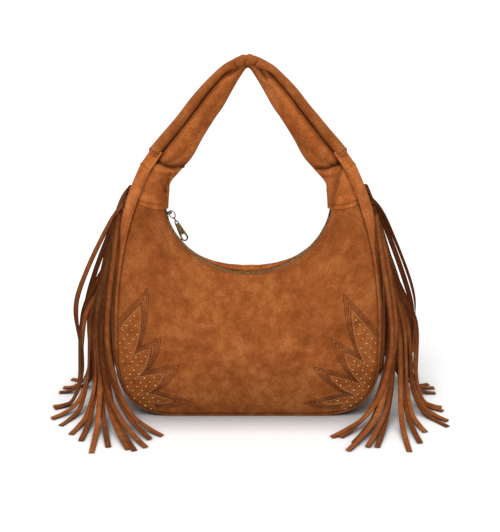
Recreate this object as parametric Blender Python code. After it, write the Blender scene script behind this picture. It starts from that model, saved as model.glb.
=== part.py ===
"""A slouchy suede hobo bag with long side fringes, a padded shoulder strap and a curved metal zip.

Metres, +Z up. X runs from side to side, the front of the bag looks along -Y, and the
origin is the middle of the flat base that the bag stands on.
"""

import math

import bmesh
import bpy
import numpy as np
from mathutils import Matrix, Vector

# Suede, lining and the gap that sewn pieces keep from each other
SUEDE = 0.0016
LINING = 0.0008
GAP = 0.0003
LINING_GAP = 0.0005

# Body outline in the front view: two sides that lean in, round lower corners, a flat base
BODY_HALF_WIDTH = 0.157
BELLY_HEIGHT = 0.080
SIDE_TOP_HEIGHT = 0.299
SIDE_TOP_HALF_WIDTH = 0.115
SIDE_CURVE = 2.6
CORNER_RUN = 0.075
CORNER_CURVE = 2.6

# Depth of the side band, from its front seam to its back seam, given as halves
BELLY_HALF_DEPTH = 0.047
BASE_HALF_DEPTH = 0.044
SIDE_TOP_HALF_DEPTH = 0.016
DEPTH_CURVE = 1.8
SIDE_BULGE = 0.009
SIDE_TOP_BULGE = 0.012
PANEL_BULGE = 0.016
PANEL_FALL = 0.75

# Curved mouth of the bag, and the seam where the strap is sewn on
MOUTH_HALF_WIDTH = 0.098
MOUTH_TOP = 0.255
MOUTH_DEPTH = 0.084
MOUTH_CURVE = 2.25
MOUTH_HALF_GAP = 0.014
MOUTH_END_HALF_GAP = 0.008
STRAP_SEAM_HEIGHT = 0.266

# Zip: a chain on one arc, so that the slider can run along it
ZIP_CENTRE_Z = 0.270
ZIP_RADIUS = 0.1015
ZIP_START_DEG = -79.0
ZIP_END_DEG = 71.0
TAPE = 0.0006
TAPE_UNDER_PANEL = 0.6
TOOTH_PITCH = 0.0045
TOOTH_HEIGHT = 0.0024
TOOTH_SHARE = 0.56
TOOTH_ROOT_Y = 0.0021
CORD_EDGE_Y = 0.0032
CHAIN_SLOT = 0.0011
STOP_LENGTH = 0.0024

# Slider, ring, link and pull tab
SLIDER_DEG = -75.0
SLIDER_LENGTH = 0.0110
SLIDER_HALF_WIDTH = 0.0044
SLIDER_TAIL_HALF_WIDTH = 0.0034
SLIDER_LOWER_HALF_WIDTH = 0.0030
SLIDER_PLATE = 0.0012
SLIDER_CLEARANCE = 0.00045
NECK = 0.0005
BRIDGE_WIDTH = 0.0022
BRIDGE_GAP = 0.0048
BRIDGE_RISE = 0.0052
BRIDGE_BAR = 0.0014
RING_WIRE = 0.0013
RING_LENGTH = 0.0114
RING_WIDTH = 0.0076
LINK_WIRE = 0.0011
LINK_LENGTH = 0.0082
LINK_WIDTH = 0.0058
HANG_PLAY = 0.0002
EYE_PLAY = 0.0005
TAB_THICKNESS = 0.0016
TAB_LENGTH = 0.0280
TAB_TOP_RADIUS = 0.0026
TAB_FOOT_RADIUS = 0.0048
TAB_EYE_RADIUS = 0.0015
TAB_SLOT_RADIUS = 0.0024
TAB_SLOT_LENGTH = 0.0030
PULL_TILT_DEG = 11.0

# Shoulder strap. Its foot follows the side band; above that each row of the front view is given as
# shares of the side band's top: half width, rise of the strap above it, and half depth
STRAP_TOP = 0.434
STRAP_SEAM_ROOM = 0.0027
STRAP_FOOT = (
    # share of the way up the side band's edge, inner x and rise from the mouth's end, inner y, swell, wall
    (0.015, -0.0040, -0.0005, 0.0015, 0.0020, 0.0028),
    (0.450, -0.0055, 0.0150, 0.0005, 0.0025, 0.0032),
    (0.940, -0.0075, 0.0280, -0.0010, 0.0030, 0.0042),
)
STRAP_ROWS = (
    # edge x, rise, y, inner x, rise, y, swell, wall
    (0.896, 0.113, 0.75, 0.687, -0.015, 0.28, 0.0045, 0.0100),
    (0.809, 0.213, 0.66, 0.561, 0.111, 0.22, 0.0045, 0.0200),
    (0.704, 0.324, 0.63, 0.461, 0.267, 0.19, 0.0045, 0.0200),
    (0.574, 0.468, 0.61, 0.339, 0.437, 0.19, 0.0045, 0.0200),
    (0.428, 0.636, 0.59, 0.243, 0.556, 0.19, 0.0042, 0.0200),
    (0.306, 0.761, 0.56, 0.152, 0.696, 0.19, 0.0038, 0.0200),
    (0.168, 0.878, 0.53, 0.070, 0.815, 0.19, 0.0030, 0.0200),
    (0.000, 0.948, 0.50, 0.000, 0.885, 0.19, 0.0020, 0.0200),
)
# The rolled outer strip lies on the strap's edge: outer x, rise, half depth, as the same shares
ROLL_ROWS = (
    (1.004, 0.172, 0.81),
    (0.909, 0.267, 0.78),
    (0.804, 0.374, 0.75),
    (0.665, 0.515, 0.72),
    (0.522, 0.670, 0.69),
    (0.383, 0.800, 0.66),
    (0.217, 0.922, 0.59),
    (0.000, 1.000, 0.53),
)
ROLL_CREASE = 0.0010
STRAP_RINGS = 41
STRAP_ACROSS = 6
ROLL_AROUND = 10
JOINT_RISE = 0.0162
JOINT_LEAN = 0.0083
JOINT_HALF_DEPTH = 0.0130
JOINT_BULGE = 0.0095
JOINT_WALL = 0.0022

# Fringe: a strip sewn along the side band and cut into strands that hang and fan out on the floor
STRAND_WIDTH = 0.0064
STRAND_THICKNESS = 0.0012
STRAND_PITCH = 0.0068
STRAND_CUT = 0.0005
STRAND_RINGS = 15
HEADER_DEPTH = 0.0050
HANG_HEIGHT = 1.4 * BELLY_HEIGHT
# Each row: strands, drop of the top root below the side band's top, place across the side band and
# gap to it. Then, against the share of the way down the row: how far out of the belly the strands
# hang, where across it (a share of its half depth), which way their ends turn on the floor in
# degrees from outwards, how far they reach there, how high they land on the next ones, and the
# heights at which the first ones end
FRONT_ROW = dict(
    strands=13, drop=0.059, across=-0.12, gap=0.0006, share=(0.0, 0.58, 1.0),
    hang_out=(0.0095, 0.0165, 0.0400), hang_across=(1.04, 0.54, 0.06),
    turn=(143, 80, 10), reach=(0.096, 0.094, 0.036), pile=(0.0080, 0.0, 0.0), short=(),
)
BACK_ROW = dict(
    strands=12, drop=0.031, across=0.55, gap=0.0014, share=(0.0, 0.19, 0.27, 1.0),
    hang_out=(0.0340, 0.0500, 0.0130, 0.0470), hang_across=(1.50, 1.36, 1.28, 0.50),
    turn=(0, 0, 98, -4), reach=(0.034, 0.034, 0.046, 0.034), pile=(0.0, 0.0, 0.0, 0.0),
    short=(0.134, 0.098, 0.046),
)

# Mesh fineness
PANEL_COUNTS = (38, 7)
SIDE_COUNTS = (38, 5)
SIDE_EXTRA = 3
TURN_WEIGHT = 0.06
MOUTH_CROWDING = 1.35


def clear_scene():
    for obj in list(bpy.data.objects):
        bpy.data.objects.remove(obj)


def finish(name, colour, roughness, metallic=0.0):
    """A Principled material in the piece's own colour."""
    made = bpy.data.materials.get(name) or bpy.data.materials.new(name)
    made.use_nodes = True
    shader = made.node_tree.nodes["Principled BSDF"]
    shader.inputs["Base Color"].default_value = (*colour, 1.0)
    shader.inputs["Roughness"].default_value = roughness
    shader.inputs["Metallic"].default_value = metallic
    return made


def suede():
    return finish("tan_suede", (0.42, 0.16, 0.055), 0.95)


def brass():
    return finish("antique_brass", (0.36, 0.27, 0.13), 0.38, 1.0)


def cotton():
    return finish("cotton_lining", (0.30, 0.22, 0.15), 0.9)


def tape_cloth():
    return finish("zip_tape_cloth", (0.10, 0.055, 0.03), 0.9)


def add_object(name, points, faces, material, smooth_deg=40):
    """One closed mesh with its faces turned outwards."""
    mesh = bpy.data.meshes.new(name)
    mesh.from_pydata([tuple(p) for p in points], [], [tuple(f) for f in faces])
    work = bmesh.new()
    work.from_mesh(mesh)
    bmesh.ops.recalc_face_normals(work, faces=work.faces)
    work.to_mesh(mesh)
    work.free()
    mesh.shade_smooth()
    mesh.set_sharp_from_angle(angle=math.radians(smooth_deg))
    mesh.materials.append(material)
    made = bpy.data.objects.new(name, mesh)
    bpy.context.scene.collection.objects.link(made)
    return made


def resample(line, count):
    """The polyline again as count points, evenly spaced along its length."""
    steps = np.linalg.norm(np.diff(line, axis=0), axis=1)
    along = np.concatenate([[0.0], np.cumsum(steps)])
    at = np.linspace(0.0, along[-1], count)
    return np.stack([np.interp(at, along, line[:, k]) for k in range(line.shape[1])], axis=1)


def smooth_curve(points, count):
    """A Catmull-Rom curve through the points, read at count even steps of its parameter."""
    p = np.asarray(points, float)
    ends = np.vstack([2 * p[0] - p[1], p, 2 * p[-1] - p[-2]])
    at = np.linspace(0.0, len(p) - 1, count)
    i = np.minimum(at.astype(int), len(p) - 2)
    t = (at - i)[:, None]
    a, b, c, d = ends[i], ends[i + 1], ends[i + 2], ends[i + 3]
    return 0.5 * (
        2 * b + (c - a) * t + (2 * a - 5 * b + 4 * c - d) * t**2 + (3 * b - a - 3 * c + d) * t**3
    )


def sheet_solid(name, outer, inner, material):
    """A closed wall between two grids of points with the same counts."""
    rows, cols = outer.shape[:2]
    points = np.concatenate([outer.reshape(-1, 3), inner.reshape(-1, 3)])
    shift = rows * cols

    def at(i, j, layer=0):
        return layer * shift + i * cols + j

    faces = []
    for i in range(rows - 1):
        for j in range(cols - 1):
            quad = (at(i, j), at(i + 1, j), at(i + 1, j + 1), at(i, j + 1))
            faces.append(quad)
            faces.append(tuple(shift + k for k in reversed(quad)))
    rim = (
        [(i, 0) for i in range(rows)]
        + [(rows - 1, j) for j in range(1, cols)]
        + [(i, cols - 1) for i in range(rows - 2, -1, -1)]
        + [(0, j) for j in range(cols - 2, 0, -1)]
    )
    for a, b in zip(rim, rim[1:] + rim[:1]):
        faces.append((at(*b), at(*a), at(*a, 1), at(*b, 1)))
    return add_object(name, points, faces, material)


def loft_solid(name, rings, material, smooth_deg=40):
    """A closed body through rings of points, with a flat cap at each end."""
    count, around = rings.shape[:2]
    faces = [
        (i * around + j, i * around + (j + 1) % around,
         (i + 1) * around + (j + 1) % around, (i + 1) * around + j)
        for i in range(count - 1) for j in range(around)
    ]
    faces.append(tuple(range(around)))
    faces.append(tuple(range((count - 1) * around, count * around)))
    return add_object(name, rings.reshape(-1, 3), faces, material, smooth_deg)


def side_half_width(z):
    """Half width of the body above its belly: it narrows by a power of the height."""
    share = np.clip((z - BELLY_HEIGHT) / (SIDE_TOP_HEIGHT - BELLY_HEIGHT), 0.0, None)
    return BODY_HALF_WIDTH - (BODY_HALF_WIDTH - SIDE_TOP_HALF_WIDTH) * share**SIDE_CURVE


def half_depth(z):
    """Half of the side band's depth at a height: it thins towards the strap and a little to the base."""
    up = np.clip((z - BELLY_HEIGHT) / (SIDE_TOP_HEIGHT - BELLY_HEIGHT), 0.0, 1.0)
    down = np.clip((BELLY_HEIGHT - z) / BELLY_HEIGHT, 0.0, 1.0)
    return (
        BELLY_HALF_DEPTH
        - (BELLY_HALF_DEPTH - SIDE_TOP_HALF_DEPTH) * up**DEPTH_CURVE
        - (BELLY_HALF_DEPTH - BASE_HALF_DEPTH) * down**2
    )


def side_bulge(x, z):
    """How far the side band stands out of its seams: none on the base, most at the strap."""
    up = np.clip(z / BELLY_HEIGHT, 0.0, 1.0)
    rise = up * up * (3 - 2 * up)
    top = np.clip((z - BELLY_HEIGHT) / (SIDE_TOP_HEIGHT - BELLY_HEIGHT), 0.0, 1.0)
    return rise * (SIDE_BULGE + (SIDE_TOP_BULGE - SIDE_BULGE) * top**2)


def outline(count, tall=False):
    """Points and outward normals in the XZ plane, from the left strap seam under the bag to the right
    one; the tall outline goes on up to the top of the side band."""
    top = STRAP_SEAM_HEIGHT
    z = np.linspace(top, BELLY_HEIGHT, 120)
    side = np.stack([side_half_width(z), z], axis=1)
    angle = np.linspace(0.0, math.pi / 2, 120)[1:]
    power = 2.0 / CORNER_CURVE
    corner = np.stack(
        [
            BODY_HALF_WIDTH - CORNER_RUN + CORNER_RUN * np.cos(angle) ** power,
            BELLY_HEIGHT - BELLY_HEIGHT * np.sin(angle) ** power,
        ],
        axis=1,
    )
    half = np.vstack([side, corner, [[0.0, 0.0]]])
    whole = np.vstack([half * (-1.0, 1.0), half[::-1][1:]])
    step = np.diff(whole, axis=0)
    length = np.linalg.norm(step, axis=1)
    heading = np.unwrap(np.arctan2(step[:, 1], step[:, 0]))
    turn = np.abs(np.diff(heading, prepend=heading[0]))
    along = np.concatenate([[0.0], np.cumsum(length + TURN_WEIGHT * turn)])
    at = np.linspace(0.0, along[-1], count)
    line = np.stack([np.interp(at, along, whole[:, 0]), np.interp(at, along, whole[:, 1])], axis=1)
    if tall:
        rise = np.linspace(SIDE_TOP_HEIGHT, top, SIDE_EXTRA + 1)[:-1]
        ends = np.stack([side_half_width(rise), rise], axis=1)
        line = np.vstack([ends * (-1.0, 1.0), line, ends[::-1]])
    along = np.gradient(line, axis=0)
    along /= np.linalg.norm(along, axis=1)[:, None]
    normal = np.stack([along[:, 1], -along[:, 0]], axis=1)
    return line, normal


def mouth(count):
    """The mouth's edge in the XZ plane: a superellipse from its left end down and round to its right end."""
    angle = np.linspace(0.0, math.pi, 400)
    power = 2.0 / MOUTH_CURVE
    x = -MOUTH_HALF_WIDTH * np.sign(np.cos(angle)) * np.abs(np.cos(angle)) ** power
    z = MOUTH_TOP - MOUTH_DEPTH * np.abs(np.sin(angle)) ** power
    return resample(np.stack([x, z], axis=1), count)


def grid_normals(grid):
    """Unit normals of a grid of points, from its two directions."""
    normal = np.cross(np.gradient(grid, axis=0), np.gradient(grid, axis=1))
    return normal / np.linalg.norm(normal, axis=2)[..., None]


def panel_face(counts, inset):
    """The outer face of the front panel, from the mouth's edge (first column) to the outer seam."""
    along, across = counts
    line, normal = outline(along)
    seam = line - normal * (SUEDE + GAP + inset)
    edge = mouth(along)
    u = np.linspace(0.0, 1.0, along)[:, None]
    v = (np.linspace(0.0, 1.0, across) ** MOUTH_CROWDING)[None, :]
    x = edge[:, :1] * (1 - v) + seam[:, :1] * v
    z = edge[:, 1:] * (1 - v) + seam[:, 1:] * v
    middle = np.sqrt(np.sin(math.pi * u))
    near = MOUTH_END_HALF_GAP + (MOUTH_HALF_GAP - MOUTH_END_HALF_GAP) * middle
    far = half_depth(line[:, 1:])
    run = np.linalg.norm(seam - edge, axis=1)[:, None] / (MOUTH_TOP - MOUTH_DEPTH)
    fall = np.sin(0.5 * math.pi * v) ** PANEL_FALL
    y = near + (far - near) * fall + PANEL_BULGE * np.minimum(run, 1.0) * np.sin(math.pi * v)
    return np.stack([x, -y, z], axis=2)


def panel(name, back, depth, wall, inset, material, first=0):
    """A panel of suede or lining: the panel's face set in by depth, from its first column on."""
    face = panel_face(PANEL_COUNTS, inset)
    normal = grid_normals(face)
    if normal[..., 1].mean() > 0:
        normal = -normal
    outer, inner = face - normal * depth, face - normal * (depth + wall)
    outer, inner = outer[:, first:], inner[:, first:]
    if back:
        outer, inner = outer * (1, -1, 1), inner * (1, -1, 1)
    return sheet_solid(name, outer, inner, material)


def side_face(counts, across_inset=0.0):
    """The outer face of the side band: from the left strap joint, under the bag, to the right one."""
    line, normal = outline(counts[0], True)
    w = np.linspace(-1.0, 1.0, counts[1])[None, :]
    bulge = side_bulge(line[:, :1], line[:, 1:]) * (1 - w**2)
    y = w * (half_depth(line[:, 1:]) - across_inset)
    x = line[:, :1] + normal[:, :1] * bulge
    z = line[:, 1:] + normal[:, 1:] * bulge
    face = np.stack([x, y, z], axis=2)
    outward = np.stack([normal[:, 0], np.zeros(len(line)), normal[:, 1]], axis=1)
    return face, outward[:, None, :]


def side_band(name, counts, depth, wall, across_inset, material):
    face, outward = side_face(counts, across_inset)
    return sheet_solid(name, face - outward * depth, face - outward * (depth + wall), material)


def zip_angles(count):
    """Angles along the chain, from straight down, in radians."""
    return np.radians(np.linspace(ZIP_START_DEG, ZIP_END_DEG, count))


def on_zip(angle, radius, y):
    """Points on the zip's arc: radius is measured from the arc's centre."""
    angle, radius, y = np.broadcast_arrays(angle, radius, y)
    return np.stack(
        [radius * np.sin(angle), y, ZIP_CENTRE_Z - radius * np.cos(angle)], axis=-1
    )


def zip_tape(name, side):
    """A strip of woven tape from the chain's cord to under the panel's edge; side is -1 at the front."""
    face = panel_face(PANEL_COUNTS, 0.0)
    normal = grid_normals(face)
    if normal[..., 1].mean() > 0:
        normal = -normal
    under = face - normal * (SUEDE + GAP + TAPE / 2)
    edge = under[:, 0]
    tuck = edge + (under[:, 1] - edge) * TAPE_UNDER_PANEL
    angle = np.arctan2(face[:, 0, 0], ZIP_CENTRE_Z - face[:, 0, 2])
    chain = on_zip(angle, ZIP_RADIUS, -(CORD_EDGE_Y + GAP))
    middle = np.stack([chain, edge, tuck], axis=1)
    off = grid_normals(middle)
    outer, inner = middle - off * TAPE / 2, middle + off * TAPE / 2
    flip = (1, -side, 1)
    return sheet_solid(name, outer * flip, inner * flip, tape_cloth())


def tooth_row(name, side):
    """One row of zip teeth on its cord: a comb outline bent round the zip's arc."""
    span = math.radians(ZIP_END_DEG - ZIP_START_DEG)
    pitch = TOOTH_PITCH / ZIP_RADIUS
    teeth = int(span / pitch) - 2
    start = math.radians(ZIP_START_DEG) + 1.5 * pitch
    if side > 0:
        start += pitch / 2
    low, high = ZIP_RADIUS - TOOTH_HEIGHT / 2, ZIP_RADIUS + TOOTH_HEIGHT / 2
    points, faces = [], []

    def column(angle, y):
        first = len(points)
        points.extend([on_zip(angle, low, side * y), on_zip(angle, high, side * y)])
        return first

    def wall(a, b):
        faces.append((a, b, b + 1, a + 1))

    def top_and_foot(a, b, c, d):
        faces.append((a, b, c, d))
        faces.append((d + 1, c + 1, b + 1, a + 1))

    cord = column(start - pitch / 2, CORD_EDGE_Y)
    root = column(start - pitch / 2, TOOTH_ROOT_Y)
    wall(cord, root)
    for k in range(teeth):
        middle = start + k * pitch
        half = 0.5 * TOOTH_SHARE * pitch
        root_a = column(middle - half, TOOTH_ROOT_Y)
        tip_a = column(middle - 0.7 * half, CHAIN_SLOT / 2)
        tip_b = column(middle + 0.7 * half, CHAIN_SLOT / 2)
        root_b = column(middle + half, TOOTH_ROOT_Y)
        cord_a = column(middle - half, CORD_EDGE_Y)
        cord_b = column(middle + half, CORD_EDGE_Y)
        top_and_foot(cord, root, root_a, cord_a)
        top_and_foot(cord_a, root_a, root_b, cord_b)
        top_and_foot(root_a, tip_a, tip_b, root_b)
        wall(root, root_a)
        wall(root_a, tip_a)
        wall(tip_a, tip_b)
        wall(tip_b, root_b)
        wall(cord_a, cord)
        wall(cord_b, cord_a)
        cord, root = cord_b, root_b
    last = start + (teeth - 0.5) * pitch
    cord_end, root_end = column(last, CORD_EDGE_Y), column(last, TOOTH_ROOT_Y)
    top_and_foot(cord, root, root_end, cord_end)
    wall(root, root_end)
    wall(root_end, cord_end)
    wall(cord_end, cord)
    return add_object(name, points, faces, brass(), 30)


def zip_block(name, angle_deg, length, half_width, offset_y):
    """A crimped metal stop, bent round the arc."""
    half = 0.5 * length / ZIP_RADIUS
    angle = math.radians(angle_deg) + np.array([-half, half])
    low, high = ZIP_RADIUS - 0.6 * TOOTH_HEIGHT, ZIP_RADIUS + 0.6 * TOOTH_HEIGHT
    rings = np.array(
        [
            [
                on_zip(a, low, offset_y - half_width),
                on_zip(a, low, offset_y + half_width),
                on_zip(a, high, offset_y + half_width),
                on_zip(a, high, offset_y - half_width),
            ]
            for a in angle
        ]
    )
    return loft_solid(name, rings, brass(), 30)


def prism(name, outline_points, y_low, y_high, material):
    """An outline in the XZ plane given a thickness along Y."""
    count = len(outline_points)
    points = [(x, y, z) for y in (y_low, y_high) for x, z in outline_points]
    faces = [(k, (k + 1) % count, count + (k + 1) % count, count + k) for k in range(count)]
    faces.append(tuple(range(count)))
    faces.append(tuple(range(count, 2 * count)))
    return add_object(name, points, faces, material, 30)


def arc_points(x, z, radius, from_deg, to_deg, count):
    angle = np.radians(np.linspace(from_deg, to_deg, count))
    return [(x + radius * math.cos(a), z + radius * math.sin(a)) for a in angle]


def combine(body, tool, operation):
    """Joins the tool to the body, or cuts it away, and removes the tool."""
    change = body.modifiers.new(operation, "BOOLEAN")
    change.operation = operation
    change.object = tool
    bpy.context.view_layer.update()
    graph = bpy.context.evaluated_depsgraph_get()
    mesh = bpy.data.meshes.new_from_object(body.evaluated_get(graph))
    body.modifiers.clear()
    body.data = mesh
    bpy.data.objects.remove(tool)
    return body


def box_outline(x_low, x_high, z_low, z_high):
    return [(x_low, z_low), (x_high, z_low), (x_high, z_high), (x_low, z_high)]


def stadium(x, z, radius, length, count=7):
    """A round-ended slot standing along Z."""
    return (
        arc_points(x, z + length / 2, radius, 0, 180, count)
        + arc_points(x, z - length / 2, radius, 180, 360, count)
    )


def turn_about_zip(obj, angle_deg):
    """Moves a piece drawn at the foot of the zip's arc along the arc, to its angle."""
    there = Matrix.Translation((0, 0, ZIP_CENTRE_Z))
    obj.data.transform(there @ Matrix.Rotation(-math.radians(angle_deg), 4, "Y") @ there.inverted())
    return obj


def set_pivot(obj, point):
    """Moves the object's origin to a point without moving its mesh."""
    obj.data.transform(Matrix.Translation(-Vector(point)))
    obj.location = point
    return obj


def section_ring(centre, right, up, width, height, count, power):
    """A superellipse section with its own right and up directions."""
    angle = np.linspace(0.0, 2 * math.pi, count, endpoint=False)
    c, s = np.cos(angle), np.sin(angle)
    across = np.sign(c) * np.abs(c) ** (2 / power) * width / 2
    tall = np.sign(s) * np.abs(s) ** (2 / power) * height / 2
    return centre + across[:, None] * right + tall[:, None] * up


def wire_ring(name, centre, along, across, length, width, wire, material, segments=14, sides=6):
    """An oval ring of round wire, length along one direction and width across it."""
    angle = np.linspace(0.0, 2 * math.pi, segments, endpoint=False)
    half_l, half_w = (length - wire) / 2, (width - wire) / 2
    line = np.stack([half_l * np.cos(angle), half_w * np.sin(angle)], axis=1)
    out = np.stack([half_w * np.cos(angle), half_l * np.sin(angle)], axis=1)
    out /= np.linalg.norm(out, axis=1)[:, None]
    normal = np.cross(along, across)
    turn = np.linspace(0.0, 2 * math.pi, sides, endpoint=False)
    points = []
    for (a, b), (u, v) in zip(line, out):
        middle = centre + a * along + b * across
        away = u * along + v * across
        points += [middle + wire / 2 * (math.cos(t) * away + math.sin(t) * normal) for t in turn]
    faces = [
        (i * sides + j, i * sides + (j + 1) % sides,
         (i + 1) % segments * sides + (j + 1) % sides, (i + 1) % segments * sides + j)
        for i in range(segments) for j in range(sides)
    ]
    return add_object(name, points, faces, material, 60)


def side_point(z, across):
    """A point on the side band of the right-hand side, and its outward direction."""
    step = 1e-4
    slope = (side_half_width(z + step) - side_half_width(z - step)) / (2 * step)
    normal = np.array([1.0, 0.0, -slope]) / math.hypot(1.0, slope)
    seam = np.array([side_half_width(z), 0.0, z])
    bulge = float(side_bulge(0.0, z)) * (1 - across**2)
    return seam + normal * bulge + (0.0, across * half_depth(z), 0.0), normal


def strand_lines(row, side, seed):
    """Centre lines of a row of strands and the way each faces, from the cut header to the tips."""
    random = np.random.default_rng(seed)
    front = np.sign(row["across"])
    roots, lines, faced = [], [], []
    for k, q in enumerate(np.linspace(0.0, 1.0, row["strands"])):
        sewn, out = side_point(SIDE_TOP_HEIGHT - row["drop"] - k * STRAND_PITCH, row["across"])
        sewn = sewn + out * row["gap"]
        root = sewn + out * HEADER_DEPTH
        roots.append((sewn, root))
        aside = BODY_HALF_WIDTH + np.interp(q, row["share"], row["hang_out"])
        deep = front * BELLY_HALF_DEPTH * np.interp(q, row["share"], row["hang_across"])
        hung = np.array([aside, deep, HANG_HEIGHT])
        turn = math.radians(np.interp(q, row["share"], row["turn"]) + random.uniform(-1, 1))
        reach = np.interp(q, row["share"], row["reach"])
        over = np.interp(q, row["share"], row["pile"])
        away = np.array([math.cos(turn), front * math.sin(turn), 0.0])
        tip = hung + away * reach
        tip[2] = STRAND_THICKNESS / 2
        drop = root + out * STRAND_WIDTH + (0, 0.30 * (hung[1] - root[1]), 0.0005)
        fall = root + (hung - root) * (0.45, 0.80, 0.30)
        down = hung + (tip - hung) * 0.15
        down[2] = 0.375 * HANG_HEIGHT
        land = hung + (tip - hung) * 0.40
        land[2] = 7 * STRAND_THICKNESS + over
        flat = hung + (tip - hung) * 0.70
        flat[2] = 1.35 * STRAND_THICKNESS + 0.6 * over
        line = smooth_curve([root, drop, fall, hung, down, land, flat, tip], 85)
        line[:, 2] = np.maximum(line[:, 2], STRAND_THICKNESS / 2)
        lines.append(line)
        faced.append((-math.sin(turn), front * math.cos(turn), 0.0))
    flip = np.array([side, 1.0, 1.0])
    return np.array(roots) * flip, np.array(lines) * flip, np.array(faced) * flip


def strand_frames(row, lines, faced, seed):
    """Rings along each strand: middle, half of the width and half of the thickness as directions.

    The strip bends in its own plane from the header to where it hangs, then turns about its
    length until its flat side can lie on the floor.
    """
    along = np.gradient(lines, axis=1)
    along /= np.linalg.norm(along, axis=2)[..., None]
    upper = np.cross((0.0, 1.0, 0.0), along) * np.sign(lines[:, :1, :1])
    share = np.clip((1.3 * HANG_HEIGHT - lines[..., 2:]) / HANG_HEIGHT, 0.0, 1.0)
    share = share**2 * (3 - 2 * share)
    wide = upper * (1 - share) + faced[:, None, :] * share
    wide -= np.sum(wide * along, axis=2)[..., None] * along
    wide /= np.linalg.norm(wide, axis=2)[..., None]
    wide[:, 0] = (0.0, 0.0, -1.0)
    thick = np.cross(along, wide)
    thick *= np.sign(thick[:, :1, 1:2])
    random = np.random.default_rng(seed)
    middle, side_way, up = [], [], []
    for k, line in enumerate(lines):
        last = len(line) - 1 - random.integers(0, 5)
        if k < len(row["short"]):
            last = int(np.argmax(line[:, 2] < row["short"][k]))
        at = np.round(np.linspace(0, last, STRAND_RINGS)).astype(int)
        middle.append(line[at])
        side_way.append(wide[k][at] * STRAND_WIDTH / 2)
        up.append(thick[k][at] * STRAND_THICKNESS / 2)
    return np.array(middle), np.array(side_way), np.array(up)


def fringe_row(name, row, side, seed):
    """A header strip with its strands as one cut piece: the strands are strips of one surface."""
    roots, lines, faced = strand_lines(row, side, seed)
    middle, side_way, up = strand_frames(row, lines, faced, seed)
    points, faces = [], []

    def add(*new):
        points.extend(new)
        return len(points) - len(new)

    def header(k, lift):
        """Four corners of the header strip at one place: the sewn edge, then the cut edge."""
        sewn, root = roots[k] + (0.0, 0.0, lift)
        away = np.array([0.0, STRAND_THICKNESS / 2, 0.0])
        return add(sewn + away, sewn - away, root - away, root + away)

    reach = 0.5 * (STRAND_PITCH - STRAND_CUT)
    bars = [header(k, lift) for k in range(row["strands"]) for lift in (reach, -reach)]
    faces.append(tuple(bars[0] + j for j in (0, 1, 2, 3)))
    faces.append(tuple(bars[-1] + j for j in (3, 2, 1, 0)))
    for index, (a, b) in enumerate(zip(bars, bars[1:])):
        cut = 2 if index % 2 == 0 else None
        faces += [
            (a + j, a + (j + 1) % 4, b + (j + 1) % 4, b + j) for j in range(4) if j != cut
        ]
    for k in range(row["strands"]):
        a, b = bars[2 * k], bars[2 * k + 1]
        loop = [a + 2, a + 3, b + 3, b + 2]
        for m in range(1, STRAND_RINGS):
            c, w, t = middle[k, m], side_way[k, m], up[k, m]
            first = add(c - w - t, c - w + t, c + w + t, c + w - t)
            new = [first, first + 1, first + 2, first + 3]
            faces += [
                (loop[j], loop[(j + 1) % 4], new[(j + 1) % 4], new[j]) for j in range(4)
            ]
            loop = new
        faces.append(tuple(loop))
    return add_object(name, points, faces, suede(), 50)


def strap_rows():
    """Rows of the strap's front view on one side: edge x, z, y, inner x, z, y, swell and wall."""
    rows = []
    climb = SIDE_TOP_HEIGHT - STRAP_SEAM_HEIGHT
    for up, inward, rise, deeper, swell, wall in STRAP_FOOT:
        z = STRAP_SEAM_HEIGHT + climb * up
        rows.append((side_half_width(z) - STRAP_SEAM_ROOM, z, half_depth(z),
                     MOUTH_HALF_WIDTH + inward, MOUTH_TOP + rise,
                     MOUTH_END_HALF_GAP + deeper, swell, wall))
    wide, tall = SIDE_TOP_HALF_WIDTH, STRAP_TOP - SIDE_TOP_HEIGHT
    for ex, ez, ey, ix, iz, iy, swell, wall in STRAP_ROWS:
        rows.append((ex * wide, SIDE_TOP_HEIGHT + ez * tall, ey * SIDE_TOP_HALF_DEPTH,
                     ix * wide, SIDE_TOP_HEIGHT + iz * tall, iy * SIDE_TOP_HALF_DEPTH, swell, wall))
    return np.array(rows)


def over_the_top(rows, sideways):
    """A smooth path through the rows of one side, over the top and down through their mirror."""
    mirror = np.ones(rows.shape[1])
    mirror[list(sideways)] = -1
    return smooth_curve(np.vstack([rows * mirror, rows[::-1][1:]]), STRAP_RINGS)


def strap_band(name, side):
    """The front or back layer of the strap, over the shoulder from seam to seam."""
    w = np.linspace(0.0, 1.0, STRAP_ACROSS)
    rings = []
    for ex, ez, ey, ix, iz, iy, swell, wall in over_the_top(strap_rows(), (0, 3)):
        x = ex + (ix - ex) * w
        z = ez + (iz - ez) * w
        rounding = min(0.25 * wall, 0.0025) * np.abs(2 * w - 1) ** 7
        front = ey + (iy - ey) * w + swell * np.sin(math.pi * w) - rounding
        behind = np.maximum(front - wall, GAP / 2)
        outer = np.stack([x, side * front, z], axis=1)
        inner = np.stack([x, side * behind, z], axis=1)
        rings.append(np.vstack([outer, inner[::-1]]))
    return loft_solid(name, np.array(rings), suede(), 55)


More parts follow.
